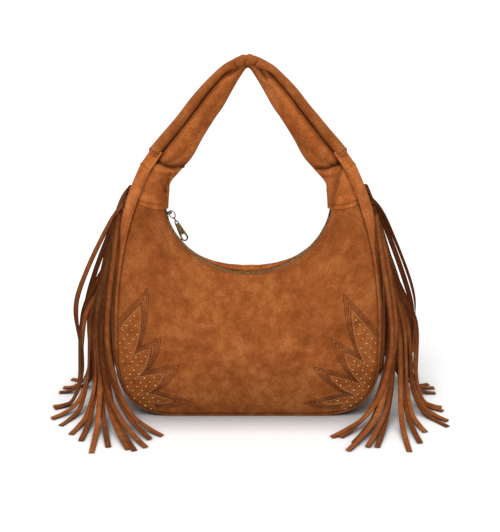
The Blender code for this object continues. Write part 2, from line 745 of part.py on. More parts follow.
def strap_roll(name):
    """The rolled strip along the outside of the strap."""
    crease = strap_rows()[-len(ROLL_ROWS):, :2]
    scale = (SIDE_TOP_HALF_WIDTH, STRAP_TOP - SIDE_TOP_HEIGHT, SIDE_TOP_HALF_DEPTH)
    outer = np.array(ROLL_ROWS) * scale + (0.0, SIDE_TOP_HEIGHT, 0.0)
    rings = []
    for cx, cz, ox, oz, depth in over_the_top(np.hstack([crease, outer]), (0, 2)):
        right = np.array([ox - cx, 0.0, oz - cz])
        reach = np.linalg.norm(right)
        right /= reach
        start = np.array([cx, 0.0, cz]) + right * ROLL_CREASE
        reach -= ROLL_CREASE
        rings.append(
            section_ring(start + right * reach / 2, right, np.array([0.0, 1.0, 0.0]),
                         reach, 2 * depth, ROLL_AROUND, 2.7)
        )
    return loft_solid(name, np.array(rings), suede(), 55)


def strap_joint(name, side):
    """The short strip between the top of the side band and the rolled strip."""
    t = np.linspace(0.0, 1.0, 4)[:, None]
    w = np.linspace(-1.0, 1.0, 5)[None, :]
    start = SIDE_TOP_HEIGHT + GAP
    x = SIDE_TOP_HALF_WIDTH - GAP / 2 - JOINT_LEAN * t
    z = start + JOINT_RISE * t
    lean = np.array([JOINT_RISE, 0.0, JOINT_LEAN])
    lean /= np.linalg.norm(lean)
    depth = SIDE_TOP_HALF_DEPTH + (JOINT_HALF_DEPTH - SIDE_TOP_HALF_DEPTH) * t
    bulge = (SIDE_TOP_BULGE + (JOINT_BULGE - SIDE_TOP_BULGE) * t) * (1 - w**2)
    face = np.stack([x + bulge * lean[0], depth * w, z + bulge * lean[2]], axis=2)
    outer, inner = face, face - lean * JOINT_WALL
    flip = (side, 1, 1)
    return sheet_solid(name, outer * flip, inner * flip, suede())


def zip_slider():
    """Slider casting: two plates round the chain, a thin neck between the rows, a bar for the ring."""
    foot = ZIP_CENTRE_Z - ZIP_RADIUS
    top = foot + TOOTH_HEIGHT / 2 + SLIDER_CLEARANCE
    bottom = foot - TOOTH_HEIGHT / 2 - SLIDER_CLEARANCE
    half = SLIDER_LENGTH / 2
    nose, tail = SLIDER_HALF_WIDTH, SLIDER_TAIL_HALF_WIDTH

    def plate(name, wide, narrow, low, high, ends):
        loop = [(-ends, -narrow), (-0.3 * ends, -narrow), (0.5 * ends, -wide), (ends, -0.6 * wide),
                (ends, 0.6 * wide), (0.5 * ends, wide), (-0.3 * ends, narrow), (-ends, narrow)]
        rings = np.array([[(x, y, z) for x, y in loop] for z in (low, high)])
        return loft_solid(name, rings, brass(), 30)

    body = plate("zip_slider", nose, tail, top, top + SLIDER_PLATE, half)
    lower = plate("lower_plate", SLIDER_LOWER_HALF_WIDTH, 0.9 * SLIDER_LOWER_HALF_WIDTH,
                  bottom - SLIDER_PLATE, bottom, 0.86 * half)
    neck_rings = np.array(
        [
            [(x, -NECK / 2, z), (x, NECK / 2, z), (x, NECK / 2, z2), (x, -NECK / 2, z2)]
            for x in (-0.1 * half, 0.55 * half)
            for z, z2 in [(bottom - SLIDER_PLATE / 2, top + SLIDER_PLATE / 2)]
        ]
    )
    neck = loft_solid("neck", neck_rings, brass(), 30)
    plate_top = top + SLIDER_PLATE
    inside, high = BRIDGE_GAP / 2, plate_top + BRIDGE_RISE
    outside = inside + 0.0010
    sunk = plate_top - SLIDER_PLATE / 2
    arch = [(-outside, sunk), (-inside, sunk), (-inside, high - BRIDGE_BAR),
            (inside, high - BRIDGE_BAR), (inside, sunk), (outside, sunk),
            (outside, high - 0.0008), (outside - 0.0010, high), (-outside + 0.0010, high),
            (-outside, high - 0.0008)]
    bridge = loft_solid(
        "bridge", np.array([[(x, y, z) for y, z in arch] for x in
                            (-BRIDGE_WIDTH / 2, BRIDGE_WIDTH / 2)]), brass(), 30)
    for tool in (neck, lower, bridge):
        combine(body, tool, "UNION")
    turn_about_zip(body, SLIDER_DEG)
    return set_pivot(body, (0.0, 0.0, ZIP_CENTRE_Z))


def zip_pull():
    """Ring on the slider's bar, link on the ring and tab on the link, resting along the chain."""
    foot = ZIP_CENTRE_Z - ZIP_RADIUS
    bar = foot + TOOTH_HEIGHT / 2 + SLIDER_CLEARANCE + SLIDER_PLATE + BRIDGE_RISE - BRIDGE_BAR / 2
    tilt = math.radians(PULL_TILT_DEG)
    along = np.array([math.cos(tilt), 0.0, math.sin(tilt)])
    across = np.array([-math.sin(tilt), 0.0, math.cos(tilt)])
    level = np.array([0.0, 1.0, 0.0])
    hook = np.array([0.0, 0.0, bar])
    reach = math.hypot(BRIDGE_BAR, BRIDGE_WIDTH) / 2
    ring_middle = hook + along * (RING_LENGTH / 2 - RING_WIRE - reach - HANG_PLAY)
    ring = wire_ring("slider_ring", ring_middle, along, across, RING_LENGTH, RING_WIDTH,
                     RING_WIRE, brass())
    ring_foot = ring_middle + along * (RING_LENGTH - RING_WIRE) / 2
    link_top = ring_foot - along * (RING_WIRE / 2 + LINK_WIRE / 2 + HANG_PLAY)
    link_middle = link_top + along * (LINK_LENGTH - LINK_WIRE) / 2
    link = wire_ring("jump_link", link_middle, along, level, LINK_LENGTH, LINK_WIDTH,
                     LINK_WIRE, brass())
    link_foot = link_top + along * (LINK_LENGTH - LINK_WIRE)
    eye = link_foot + along * (TAB_EYE_RADIUS - LINK_WIRE / 2 - EYE_PLAY)
    tab = pull_tab(eye, along, across)
    pivots = (hook, ring_foot, link_foot)
    placed = []
    there = Matrix.Translation((0, 0, ZIP_CENTRE_Z))
    turn = there @ Matrix.Rotation(-math.radians(SLIDER_DEG), 4, "Y") @ there.inverted()
    for obj, pivot in zip((ring, link, tab), pivots):
        turn_about_zip(obj, SLIDER_DEG)
        placed.append(set_pivot(obj, turn @ Vector(pivot)))
    return placed


def pull_tab(eye, along, across):
    """A flat tab, narrow and round at its eye, wide and round at its foot, with a round-ended slot."""
    foot = TAB_LENGTH - TAB_TOP_RADIUS - TAB_FOOT_RADIUS

    def lay(outline_points, low, high):
        return np.array(
            [[eye + a * along + b * across + (0.0, y, 0.0) for a, b in outline_points]
             for y in (low, high)]
        )

    rim = arc_points(0.0, 0.0, TAB_TOP_RADIUS, 80, 280, 9) + arc_points(
        foot, 0.0, TAB_FOOT_RADIUS, -80, 80, 9)
    half = TAB_THICKNESS / 2
    tab = loft_solid("pull_tab", lay(rim, -half, half), brass(), 30)
    hole = arc_points(0.0, 0.0, TAB_EYE_RADIUS, 0, 324, 10)
    slot_a, slot_b = foot - TAB_SLOT_LENGTH / 2, foot + TAB_SLOT_LENGTH / 2
    slot = arc_points(slot_a - 0.0006, 0.0, TAB_SLOT_RADIUS, 90, 270, 7) + arc_points(
        slot_b - 0.0006, 0.0, TAB_SLOT_RADIUS, -90, 90, 7)
    for index, loop in enumerate((hole, slot)):
        tool = loft_solid("tab_cutter_%d" % index, lay(loop, -3 * half, 3 * half), brass(), 30)
        combine(tab, tool, "DIFFERENCE")
    return tab


clear_scene()

panel("front_panel", False, 0.0, SUEDE, 0.0, suede())
panel("back_panel", True, 0.0, SUEDE, 0.0, suede())
side_band("gusset", SIDE_COUNTS, 0.0, SUEDE, 0.0, suede())
strap_band("strap_front", -1)
strap_band("strap_back", 1)
strap_roll("strap_outer_strip")
strap_joint("strap_joint_left", -1)
strap_joint("strap_joint_right", 1)

zip_tape("zip_tape_front", -1)
zip_tape("zip_tape_back", 1)
tooth_row("zip_teeth_front", -1)
tooth_row("zip_teeth_back", 1)
STOP_HALF_WIDTH = (CORD_EDGE_Y - CHAIN_SLOT / 2) / 2
STOP_Y = (CORD_EDGE_Y + CHAIN_SLOT / 2) / 2
zip_block("zip_top_stop_front", ZIP_START_DEG - 0.4, STOP_LENGTH, STOP_HALF_WIDTH, -STOP_Y)
zip_block("zip_top_stop_back", ZIP_START_DEG - 0.4, STOP_LENGTH, STOP_HALF_WIDTH, STOP_Y)
zip_block("zip_bottom_stop", ZIP_END_DEG + 0.6, STOP_LENGTH, CORD_EDGE_Y, 0.0)
zip_slider()
zip_pull()

panel("lining_front", False, SUEDE + LINING_GAP, LINING, 0.0, cotton(), 1)
panel("lining_back", True, SUEDE + LINING_GAP, LINING, 0.0, cotton(), 1)
side_band("lining_gusset", SIDE_COUNTS, SUEDE + GAP, LINING, 0.0066, cotton())

fringe_row("fringe_left_front", FRONT_ROW, -1, 11)
fringe_row("fringe_left_back", BACK_ROW, -1, 12)
fringe_row("fringe_right_front", FRONT_ROW, 1, 13)
fringe_row("fringe_right_back", BACK_ROW, 1, 14)
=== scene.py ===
"""A fringed suede shoulder bag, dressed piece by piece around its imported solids."""
import math

import bmesh
import bpy
import numpy as np
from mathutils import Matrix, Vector


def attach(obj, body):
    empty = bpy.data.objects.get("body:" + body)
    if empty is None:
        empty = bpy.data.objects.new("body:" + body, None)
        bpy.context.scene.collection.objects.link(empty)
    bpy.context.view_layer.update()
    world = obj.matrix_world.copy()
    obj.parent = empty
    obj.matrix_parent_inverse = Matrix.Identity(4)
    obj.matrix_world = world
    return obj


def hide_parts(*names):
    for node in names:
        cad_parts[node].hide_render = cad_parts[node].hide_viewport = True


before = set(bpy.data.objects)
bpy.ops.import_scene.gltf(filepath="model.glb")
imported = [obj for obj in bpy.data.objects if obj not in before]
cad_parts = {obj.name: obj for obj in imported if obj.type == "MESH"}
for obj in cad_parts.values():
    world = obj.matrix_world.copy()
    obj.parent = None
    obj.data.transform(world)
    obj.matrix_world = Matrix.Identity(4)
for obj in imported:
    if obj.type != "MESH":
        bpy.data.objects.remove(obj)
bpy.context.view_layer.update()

# ---- Camera, floor and light ---------------------------------------------------------------------
# A product photograph: the bag stands on a white sweep under large soft lamps, seen a little from
# above. The camera stands 1.6 m off, 20 degrees up, with a 90 mm lens on 36 mm film.

CAMERA_DISTANCE = 1.6
CAMERA_ELEVATION = math.radians(20)
CAMERA_AIM = Vector((0.0024, 0.0, 0.178))
FILM_WIDTH, LENS = 36.0, 90.2


def linear(code):
    """An sRGB hex colour as linear red, green, blue and alpha, by the sRGB curve."""
    parts = [int(code[i:i + 2], 16) / 255 for i in (1, 3, 5)]
    return [c / 12.92 if c <= 0.04045 else ((c + 0.055) / 1.055) ** 2.4 for c in parts] + [1.0]


def empty_nodes(owner):
    """The node tree of a new material or world, emptied."""
    owner.use_nodes = True
    owner.node_tree.nodes.clear()
    return owner.node_tree


def add_node(tree, kind, inputs=None, **settings):
    """Adds a shader node: settings are its own properties, inputs are sockets to link or values."""
    made = tree.nodes.new(kind)
    for name, value in settings.items():
        setattr(made, name, value)
    for name, value in (inputs or {}).items():
        if isinstance(value, bpy.types.NodeSocket):
            tree.links.new(value, made.inputs[name])
        else:
            made.inputs[name].default_value = value
    return made


def add_object(name, data):
    """A new object with this data, put into the scene."""
    made = bpy.data.objects.new(name, data)
    bpy.context.scene.collection.objects.link(made)
    return made


camera_data = bpy.data.cameras.new("photo_camera")
camera_data.sensor_width = FILM_WIDTH
camera_data.lens = LENS
camera = add_object("photo_camera", camera_data)
view_back = Vector((0.0, -math.cos(CAMERA_ELEVATION), math.sin(CAMERA_ELEVATION)))
camera.location = CAMERA_AIM + view_back * CAMERA_DISTANCE
camera.rotation_euler = (math.pi / 2 - CAMERA_ELEVATION, 0.0, 0.0)
bpy.context.scene.camera = camera
bpy.context.scene.view_settings.view_transform = "Standard"

# The sweep's paper is matt. The camera sees it brighter than it lights the bag, so that it is white
# and still keeps the bag's shadow; a painted contact shadow darkens it within 50 mm of what stands
# on it.
PAPER_BOUNCE, PAPER_SEEN = linear("#C4C2C0"), [1.22, 1.22, 1.22, 1.0]
CONTACT_REACH = 0.05
FLOOR_HALF = 12.0
paper = bpy.data.materials.new("white_paper")
tree = empty_nodes(paper)
path = add_node(tree, "ShaderNodeLightPath")
shown = add_node(tree, "ShaderNodeMix", {0: path.outputs["Is Camera Ray"], 6: PAPER_BOUNCE,
                                         7: PAPER_SEEN}, data_type="RGBA")
# painted contact shadow: ambient occlusion darkens the paper's colour near what stands on it
hollow = add_node(tree, "ShaderNodeAmbientOcclusion",
                  {"Color": shown.outputs[2], "Distance": CONTACT_REACH}, samples=8)
matt = add_node(tree, "ShaderNodeBsdfDiffuse", {"Color": hollow.outputs["Color"]})
add_node(tree, "ShaderNodeOutputMaterial", {"Surface": matt.outputs[0]})
floor_mesh = bpy.data.meshes.new("floor")
floor_mesh.from_pydata(
    [(-FLOOR_HALF, -FLOOR_HALF, 0), (FLOOR_HALF, -FLOOR_HALF, 0),
     (FLOOR_HALF, FLOOR_HALF, 0), (-FLOOR_HALF, FLOOR_HALF, 0)], [], [(0, 1, 2, 3)])
floor_mesh.materials.append(paper)
floor = add_object("floor", floor_mesh)

# Light from all round, and what the camera and the metal see of it is white.
ROOM_LIGHT = 0.56
world = bpy.data.worlds.new("white_room")
bpy.context.scene.world = world
tree = empty_nodes(world)
room = add_node(tree, "ShaderNodeBackground", {"Color": linear("#FFFFFF"), "Strength": ROOM_LIGHT})
seen = add_node(tree, "ShaderNodeBackground", {"Color": linear("#FFFFFF"), "Strength": 1.0})
path = add_node(tree, "ShaderNodeLightPath")
either = add_node(tree, "ShaderNodeMath", {0: path.outputs["Is Camera Ray"],
                                           1: path.outputs["Is Glossy Ray"]}, operation="MAXIMUM")
any_of = add_node(tree, "ShaderNodeMath", {0: either.outputs[0],
                                           1: path.outputs["Is Transmission Ray"]},
                  operation="MAXIMUM")
mixed = add_node(tree, "ShaderNodeMixShader", {0: any_of.outputs[0], 1: room.outputs[0],
                                               2: seen.outputs[0]})
add_node(tree, "ShaderNodeOutputWorld", {"Surface": mixed.outputs[0]})

# (name, strength, how soft in degrees, tilt from straight down, turn about the vertical)
for name, strength, softness, tilt, turn in (
    ("key_softbox", 1.35, 40, 38, -24),
    ("fill_softbox", 0.35, 80, 60, 40),
):
    lamp = bpy.data.lights.new(name, "SUN")
    lamp.energy = strength
    lamp.angle = math.radians(softness)
    add_object(name, lamp).rotation_euler = (math.radians(tilt), 0.0, math.radians(turn))

# ---- Front and back panels -----------------------------------------------------------------------
# Each is one piece of cow suede, 1.6 mm thick, cut with a scooped mouth. The mouth's edge is turned
# in, the outer edge is sewn to the side band, and the panel is full between them.

MM = 0.001
SUEDE = 1.6 * MM
BODY_HALF_WIDTH, BELLY_HEIGHT = 0.157, 0.080
SIDE_TOP_HEIGHT, SIDE_TOP_HALF_WIDTH, SIDE_CURVE = 0.299, 0.115, 2.6
CORNER_RUN, CORNER_CURVE = 0.075, 2.6
BELLY_HALF_DEPTH, BASE_HALF_DEPTH, SIDE_TOP_HALF_DEPTH, DEPTH_CURVE = 0.047, 0.044, 0.016, 1.8
PANEL_BULGE, PANEL_FALL, PANEL_INSET = 0.016, 0.75, 1.9 * MM
MOUTH_HALF_WIDTH, MOUTH_TOP, MOUTH_DEPTH, MOUTH_CURVE = 0.098, 0.255, 0.084, 2.25
MOUTH_HALF_GAP, MOUTH_END_HALF_GAP, MOUTH_CROWDING = 0.014, 0.008, 1.35
STRAP_SEAM_HEIGHT = 0.266
PANEL_GRID = (300, 90)
EDGE_ROUND, EDGE_FALL = 1.8 * MM, 0.4 * MM
SEAM_PINCH = 1.3 * MM
BACK_LIP = 3.8 * MM
FRONT, BACK = (0, -1, 0), (0, 1, 0)
INNER_TONE = 0.9


def side_half_width(z):
    """Half width above the belly: W - (W - top) * share of the height ** SIDE_CURVE."""
    share = np.clip((z - BELLY_HEIGHT) / (SIDE_TOP_HEIGHT - BELLY_HEIGHT), 0.0, None)
    return BODY_HALF_WIDTH - (BODY_HALF_WIDTH - SIDE_TOP_HALF_WIDTH) * share**SIDE_CURVE


def half_depth(z):
    """Half depth: the belly's, less a power of the way up and the square of the way down."""
    up = np.clip((z - BELLY_HEIGHT) / (SIDE_TOP_HEIGHT - BELLY_HEIGHT), 0.0, 1.0)
    down = np.clip((BELLY_HEIGHT - z) / BELLY_HEIGHT, 0.0, 1.0)
    return (BELLY_HALF_DEPTH - (BELLY_HALF_DEPTH - SIDE_TOP_HALF_DEPTH) * up**DEPTH_CURVE
            - (BELLY_HALF_DEPTH - BASE_HALF_DEPTH) * down**2)


def unit(vectors):
    """Each vector divided by its own length."""
    return vectors / np.maximum(np.linalg.norm(vectors, axis=-1, keepdims=True), 1e-12)


def bell(distance, width):
    """A smooth bump: exp(-(distance / width) ** 2)."""
    return np.exp(-(distance / width)**2)


def from_edge(points, axis=0, end=False):
    """Distance of each point of a line or a grid from its first (or last) row or column."""
    step = np.linalg.norm(np.diff(points, axis=axis), axis=-1)
    start = np.zeros_like(np.take(step, [0], axis=axis))
    run = np.concatenate([start, np.cumsum(step, axis=axis)], axis=axis)
    return np.take(run, [-1], axis=axis) - run if end else run


def read_along(values, run, at):
    """Rows of values that stand at the distances run, read between them at other distances."""
    return np.stack([np.interp(at, run, column) for column in values.T], axis=1)


def spaced(line, count):
    """The line again as count points at even steps of its own length."""
    run = from_edge(line)
    return read_along(line, run, np.linspace(0.0, run[-1], count))


def outline(count, top=STRAP_SEAM_HEIGHT):
    """The body's outline in the XZ plane and its outward normals: sides by side_half_width, corners
    by a superellipse, flat base, from the left top under the bag to the right top."""
    z = np.linspace(top, BELLY_HEIGHT, 200)
    side = np.stack([side_half_width(z), z], axis=1)
    angle = np.linspace(0.0, math.pi / 2, 200)[1:]
    power = 2.0 / CORNER_CURVE
    corner = np.stack([BODY_HALF_WIDTH - CORNER_RUN + CORNER_RUN * np.cos(angle)**power,
                       BELLY_HEIGHT - BELLY_HEIGHT * np.sin(angle)**power], axis=1)
    half = np.vstack([side, corner, [[0.0, 0.0]]])
    line = spaced(np.vstack([half * (-1.0, 1.0), half[::-1][1:]]), count)
    along = unit(np.gradient(line, axis=0))
    return line, np.stack([along[:, 1], -along[:, 0]], axis=1)


def mouth(count):
    """The mouth's edge in the XZ plane: the lower half of a superellipse, left to right."""
    angle = np.linspace(0.0, math.pi, 800)
    power = 2.0 / MOUTH_CURVE
    x = -MOUTH_HALF_WIDTH * np.sign(np.cos(angle)) * np.abs(np.cos(angle))**power
    z = MOUTH_TOP - MOUTH_DEPTH * np.abs(np.sin(angle))**power
    return spaced(np.stack([x, z], axis=1), count)


def unit_normals(grid):
    """Unit normals of a grid of points: the cross product of its two directions."""
    return unit(np.cross(np.gradient(grid, axis=0), np.gradient(grid, axis=1)))


def panel_face(rows, cols):
    """The front panel's outer face: u runs along the mouth, v from the mouth (0) to the seam (1).
    x and z are straight between them; the depth rises by a quarter sine, plus a half sine."""
    line, normal = outline(rows)
    seam = line - normal * PANEL_INSET
    edge = mouth(rows)
    u = np.linspace(0.0, 1.0, rows)[:, None]
    v = (np.linspace(0.0, 1.0, cols)**MOUTH_CROWDING)[None, :]
    x = edge[:, :1] * (1 - v) + seam[:, :1] * v
    z = edge[:, 1:] * (1 - v) + seam[:, 1:] * v
    near = MOUTH_END_HALF_GAP + (MOUTH_HALF_GAP - MOUTH_END_HALF_GAP) * np.sqrt(np.sin(math.pi * u))
    far = half_depth(line[:, 1:])
    run = np.linalg.norm(seam - edge, axis=1)[:, None] / (MOUTH_TOP - MOUTH_DEPTH)
    y = (near + (far - near) * np.sin(0.5 * math.pi * v)**PANEL_FALL
         + PANEL_BULGE * np.minimum(run, 1.0) * np.sin(math.pi * v))
    return np.stack([x, -y, z], axis=2)


def ripple(points, waves, seed):
    """Soft unevenness of hide, -1 to 1: a sum of sine waves of the given lengths in metres, each
    along a direction drawn from the seed."""
    draw = np.random.default_rng(seed)
    total = np.zeros(points.shape[:-1])
    for length in waves:
        direction = unit(draw.normal(size=3))
        total += np.sin(2 * math.pi * (points @ direction) / length + draw.uniform(0, 2 * math.pi))
    return total / len(waves)


def quads(rows, cols, wrap_cols=False):
    """The quads of a grid of points, as index rows; wrapped columns close on themselves."""
    i, j = np.meshgrid(np.arange(rows - 1), np.arange(cols if wrap_cols else cols - 1),
                       indexing="ij")
    over = (j + 1) % cols
    return np.stack([i * cols + j, (i + 1) * cols + j, (i + 1) * cols + over, i * cols + over],
                    axis=-1).reshape(-1, 4)


def new_piece(name, points, faces, material, tone=None, sharp=50):
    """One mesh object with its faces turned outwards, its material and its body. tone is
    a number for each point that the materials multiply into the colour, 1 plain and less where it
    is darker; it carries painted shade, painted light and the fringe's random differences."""
    mesh = bpy.data.meshes.new(name)
    mesh.from_pydata(np.asarray(points, float).tolist(), [], [list(map(int, f)) for f in faces])
    tidy = bmesh.new()
    tidy.from_mesh(mesh)
    bmesh.ops.recalc_face_normals(tidy, faces=tidy.faces)
    tidy.to_mesh(mesh)
    tidy.free()
    if tone is not None:
        layer = mesh.attributes.new("tone", "FLOAT", "POINT")
        layer.data.foreach_set("value", np.asarray(tone, np.float32).ravel())
    mesh.shade_smooth()
    mesh.set_sharp_from_angle(angle=math.radians(sharp))
    mesh.materials.append(material)
    made = add_object(name, mesh)
    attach(made, "bag")
    return made


def cloth_piece(name, outer, thickness, material, towards, tone=None):
    """A closed sheet: the outer grid, its rows turned round if its normals don't point towards the
    given direction, the same grid set in along its normals and a tenth darker, and a rim."""
    if np.sum(unit_normals(outer) * towards, axis=2).mean() < 0:
        outer = outer[::-1]
        tone = None if tone is None else tone[::-1]
    rows, cols = outer.shape[:2]
    count = rows * cols
    inner = outer - unit_normals(outer) * thickness
    front = quads(rows, cols)
    order = np.arange(count).reshape(rows, cols)
    rim = np.concatenate([order[:, 0], order[-1, 1:], order[-2::-1, -1], order[0, -2:0:-1]])
    after = np.roll(rim, -1)
    sides = np.stack([after, rim, rim + count, after + count], axis=1)
    faces = np.vstack([front, front[:, ::-1] + count, sides])
    both = np.vstack([outer.reshape(-1, 3), inner.reshape(-1, 3)])
    tones = None if tone is None else np.concatenate([tone.ravel(), tone.ravel() * INNER_TONE])
    return new_piece(name, both, faces, material, tones)


def hex_ramp(tree, factor, stops):
    """A colour ramp through (position, hex colour) stops in order; returns its colour."""
    ramp = add_node(tree, "ShaderNodeValToRGB", {"Fac": factor})
    ends = ramp.color_ramp.elements
    ends[0].position, ends[0].color = stops[0][0], linear(stops[0][1])
    ends[1].position, ends[1].color = stops[-1][0], linear(stops[-1][1])
    for place, code in stops[1:-1]:
        ends.new(place).color = linear(code)
    return ramp.outputs["Color"]


def principled(tree, inputs):
    """A Principled surface with these inputs, joined to the material's output."""
    skin = add_node(tree, "ShaderNodeBsdfPrincipled", inputs)
    add_node(tree, "ShaderNodeOutputMaterial", {"Surface": skin.outputs[0]})


# Cow suede, split and sanded: a short matt nap with no shine, that catches light at grazing angles.
# The eye sees a warm tan with cloudy darker patches where the nap lies the other way, and a fine
# fuzz. The real nap is about 0.3 mm; it is drawn at 1.6 mm so that it shows.
SUEDE_CLOUD, SUEDE_PATCH, SUEDE_NAP = 45 * MM, 11 * MM, 1.6 * MM


def suede_material(name, deep, mid, pale, finer=1.0):
    """Suede from three hex colours: clouds, patches and nap mix them, and patches and nap are
    bump. finer divides the size of the clouds and patches."""
    made = bpy.data.materials.new(name)
    tree = empty_nodes(made)
    place = add_node(tree, "ShaderNodeTexCoord").outputs["Object"]
    tone = add_node(tree, "ShaderNodeAttribute", attribute_name="tone").outputs["Fac"]
    layers, blend = [], 0.0
    for size, detail, roughness, weight in ((SUEDE_CLOUD / finer, 5.0, 0.62, 0.36),
                                            (SUEDE_PATCH / finer, 4.0, 0.7, 0.34),
                                            (SUEDE_NAP, 2.0, 0.7, 0.30)):
        noise = add_node(tree, "ShaderNodeTexNoise",
                         {"Vector": place, "Scale": 1 / size, "Detail": detail,
                          "Roughness": roughness}).outputs["Fac"]
        blend = add_node(tree, "ShaderNodeMath", {0: noise, 1: weight, 2: blend},
                         operation="MULTIPLY_ADD").outputs[0]
        layers.append(noise)
    hide = hex_ramp(tree, blend, ((0.38, deep), (0.50, mid), (0.62, pale)))
    # The tone attribute multiplies the colour: each piece's painted shade and painted light go in
    # here.
    shade = add_node(tree, "ShaderNodeMix", {0: 1.0, 6: hide, 7: tone},
                     data_type="RGBA", blend_type="MULTIPLY")
    nap = add_node(tree, "ShaderNodeBump", {"Strength": 0.35, "Distance": 0.0004,
                                            "Height": layers[2]})
    grain = add_node(tree, "ShaderNodeBump", {"Strength": 0.30, "Distance": 0.0012,
                                              "Height": layers[1],
                                              "Normal": nap.outputs["Normal"]})
    principled(tree, {"Base Color": shade.outputs[2], "Roughness": 0.95,
                      "Specular IOR Level": 0.12, "Sheen Weight": 0.22, "Sheen Roughness": 0.45,
                      "Sheen Tint": linear("#E0A070"), "Normal": grain.outputs["Normal"]})
    return made


tan_suede = suede_material("tan_cow_suede", "#85451C", "#A45A29", "#BF753F")


def dressed_panel(rows, cols):
    """The panel's face with its edges rounded in, a pinched seam that puckers, and the hide's own
    unevenness, all along the normals. Also the tone, painted shade, and the distance from the
    mouth."""
    face = panel_face(rows, cols)
    out = unit_normals(face)
    if out[..., 1].mean() > 0:
        out = -out
    near, seam, along = from_edge(face, 1), from_edge(face, 1, True), from_edge(face, 0)
    middle = np.sin(math.pi * np.linspace(0.0, 1.0, rows))[:, None]
    lift = -EDGE_FALL * np.clip(1 - near / EDGE_ROUND, 0, 1)**2
    lift += 0.12 * MM * np.sin(along / (2.9 * MM)) * np.exp(-near / (9 * MM)) * middle
    lift -= SEAM_PINCH * bell(seam, 1.7 * MM)
    lift += 0.16 * MM * np.sin(along / (3.7 * MM)) * np.exp(-seam / (8 * MM))
    full = np.clip(near / 0.03, 0, 1) * np.clip(seam / 0.03, 0, 1)
    lift += 1.1 * MM * full * ripple(face, (0.13, 0.10, 0.085, 0.07), 3)
    lift += 0.30 * MM * full * ripple(face, (0.036, 0.028, 0.041, 0.024), 5)
    # Painted shade: darker in and near the seam, and towards the bottom of the panel.
    tone = 1 - 0.22 * bell(seam, 1.6 * MM) - 0.10 * np.exp(-seam / (12 * MM))
    tone -= 0.12 * np.clip(1 - face[..., 2] / 0.09, 0, 1)
    return face + out * lift[..., None], tone, near


front_grid, panel_painted_shade, panel_near = dressed_panel(*PANEL_GRID)
lip = (BACK_LIP * np.sin(math.pi * np.linspace(0.0, 1.0, PANEL_GRID[0])[:, None])**0.6
       * bell(panel_near, 16 * MM))
back_grid = front_grid * (1, -1, 1) + np.stack([0 * lip, 0 * lip, lip], axis=2)
for name, grid, towards in (("front_panel", front_grid, FRONT), ("back_panel", back_grid, BACK)):
    panel = cloth_piece(name + "_suede", grid, SUEDE, tan_suede, towards, panel_painted_shade)
    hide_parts(name)

# ---- Mouth facings -------------------------------------------------------------------------------
# The suede is turned in along the mouth and runs level to the zip's chain, where its skived edge is
# 1 mm thick. The back one stands higher than the front one, so it shows above the chain.

FACING, CHAIN_ROOM = 1.0 * MM, 4.7 * MM
ZIP_CENTRE_Z, FACING_RADIUS = 0.270, 0.1000
FACING_COLS, FACING_SEAM_COL = 14, 5


def facing_face(edge, side):
    """The facing's upper face and its upward directions: straight from the panel's edge (v = 0) to
    a line beside the chain on the zip's arc (v = 1), raised by a half sine between them and rolled
    down at the chain."""
    angle = np.arctan2(edge[:, 0], ZIP_CENTRE_Z - edge[:, 2])
    up = np.stack([-np.sin(angle), 0 * angle, np.cos(angle)], axis=1)
    chain = np.stack([FACING_RADIUS * np.sin(angle), side * CHAIN_ROOM + 0 * angle,
                      ZIP_CENTRE_Z - FACING_RADIUS * np.cos(angle)], axis=1)
    v = np.linspace(0.0, 1.0, FACING_COLS)[None, :, None]
    rise = 0.5 * MM * np.sin(math.pi * v) - 0.6 * MM * v**8
    start = edge + up * 0.25 * MM
    face = start[:, None, :] * (1 - v) + chain[:, None, :] * v + up[:, None, :] * rise
    wave = 0.25 * MM * ripple(face, (0.03, 0.018, 0.05), 31)
    return face + up[:, None, :] * wave[..., None], up


facing_lines = []
for name, grid, side, light in (("front_mouth_facing", front_grid, -1, 1.0),
                                ("back_mouth_facing", back_grid, 1, 1.2)):
    face, up = facing_face(grid[2:-2, 0], side)
    facing_lines.append((face[:, FACING_SEAM_COL], up))
    # Painted light and shade: the back facing is a fifth lighter, and both darken towards the
    # chain.
    shade = light * (1 - 0.8 * np.linspace(0, 1, FACING_COLS)**7) * np.ones(face.shape[:2])
    facing = cloth_piece(name, face, FACING, tan_suede, up[:, None, :], shade)

# ---- Side band -----------------------------------------------------------------------------------
# One long band of the same suede goes down one side, under the bag and up the other. It stands out
# a little between its two seams, and its edges are turned in where the panels join it.

SIDE_BULGE, SIDE_TOP_BULGE = 0.009, 0.012
BAND_GRID, BAND_FLAT = (420, 44), (0.096, 0.815)
BAG_MIDDLE = (0.0, 0.0, 0.15)
BAND_TOP_LIGHT = 0.42


def side_bulge(z):
    """How far the band stands out of its seams: none on the base, most at the strap."""
    up = np.clip(z / BELLY_HEIGHT, 0.0, 1.0)
    top = np.clip((z - BELLY_HEIGHT) / (SIDE_TOP_HEIGHT - BELLY_HEIGHT), 0.0, 1.0)
    return up * up * (3 - 2 * up) * (SIDE_BULGE + (SIDE_TOP_BULGE - SIDE_BULGE) * top**2)


def band_face(rows, cols, inset=0.0):
    """The band's outer face: u along the outline, w from the front seam (-1) to the back one (1).
    It stands off the outline by side_bulge * (1 - w * w)."""
    line, normal = outline(rows, SIDE_TOP_HEIGHT)
    w = np.sin(np.linspace(-0.5, 0.5, cols) * math.pi)[None, :]
    bulge = side_bulge(line[:, 1:]) * (1 - w**2)
    y = w * (half_depth(line[:, 1:]) - inset)
    x = line[:, :1] + normal[:, :1] * bulge
    z = line[:, 1:] + normal[:, 1:] * bulge
    return np.stack([x, np.broadcast_to(y, x.shape), z], axis=2)


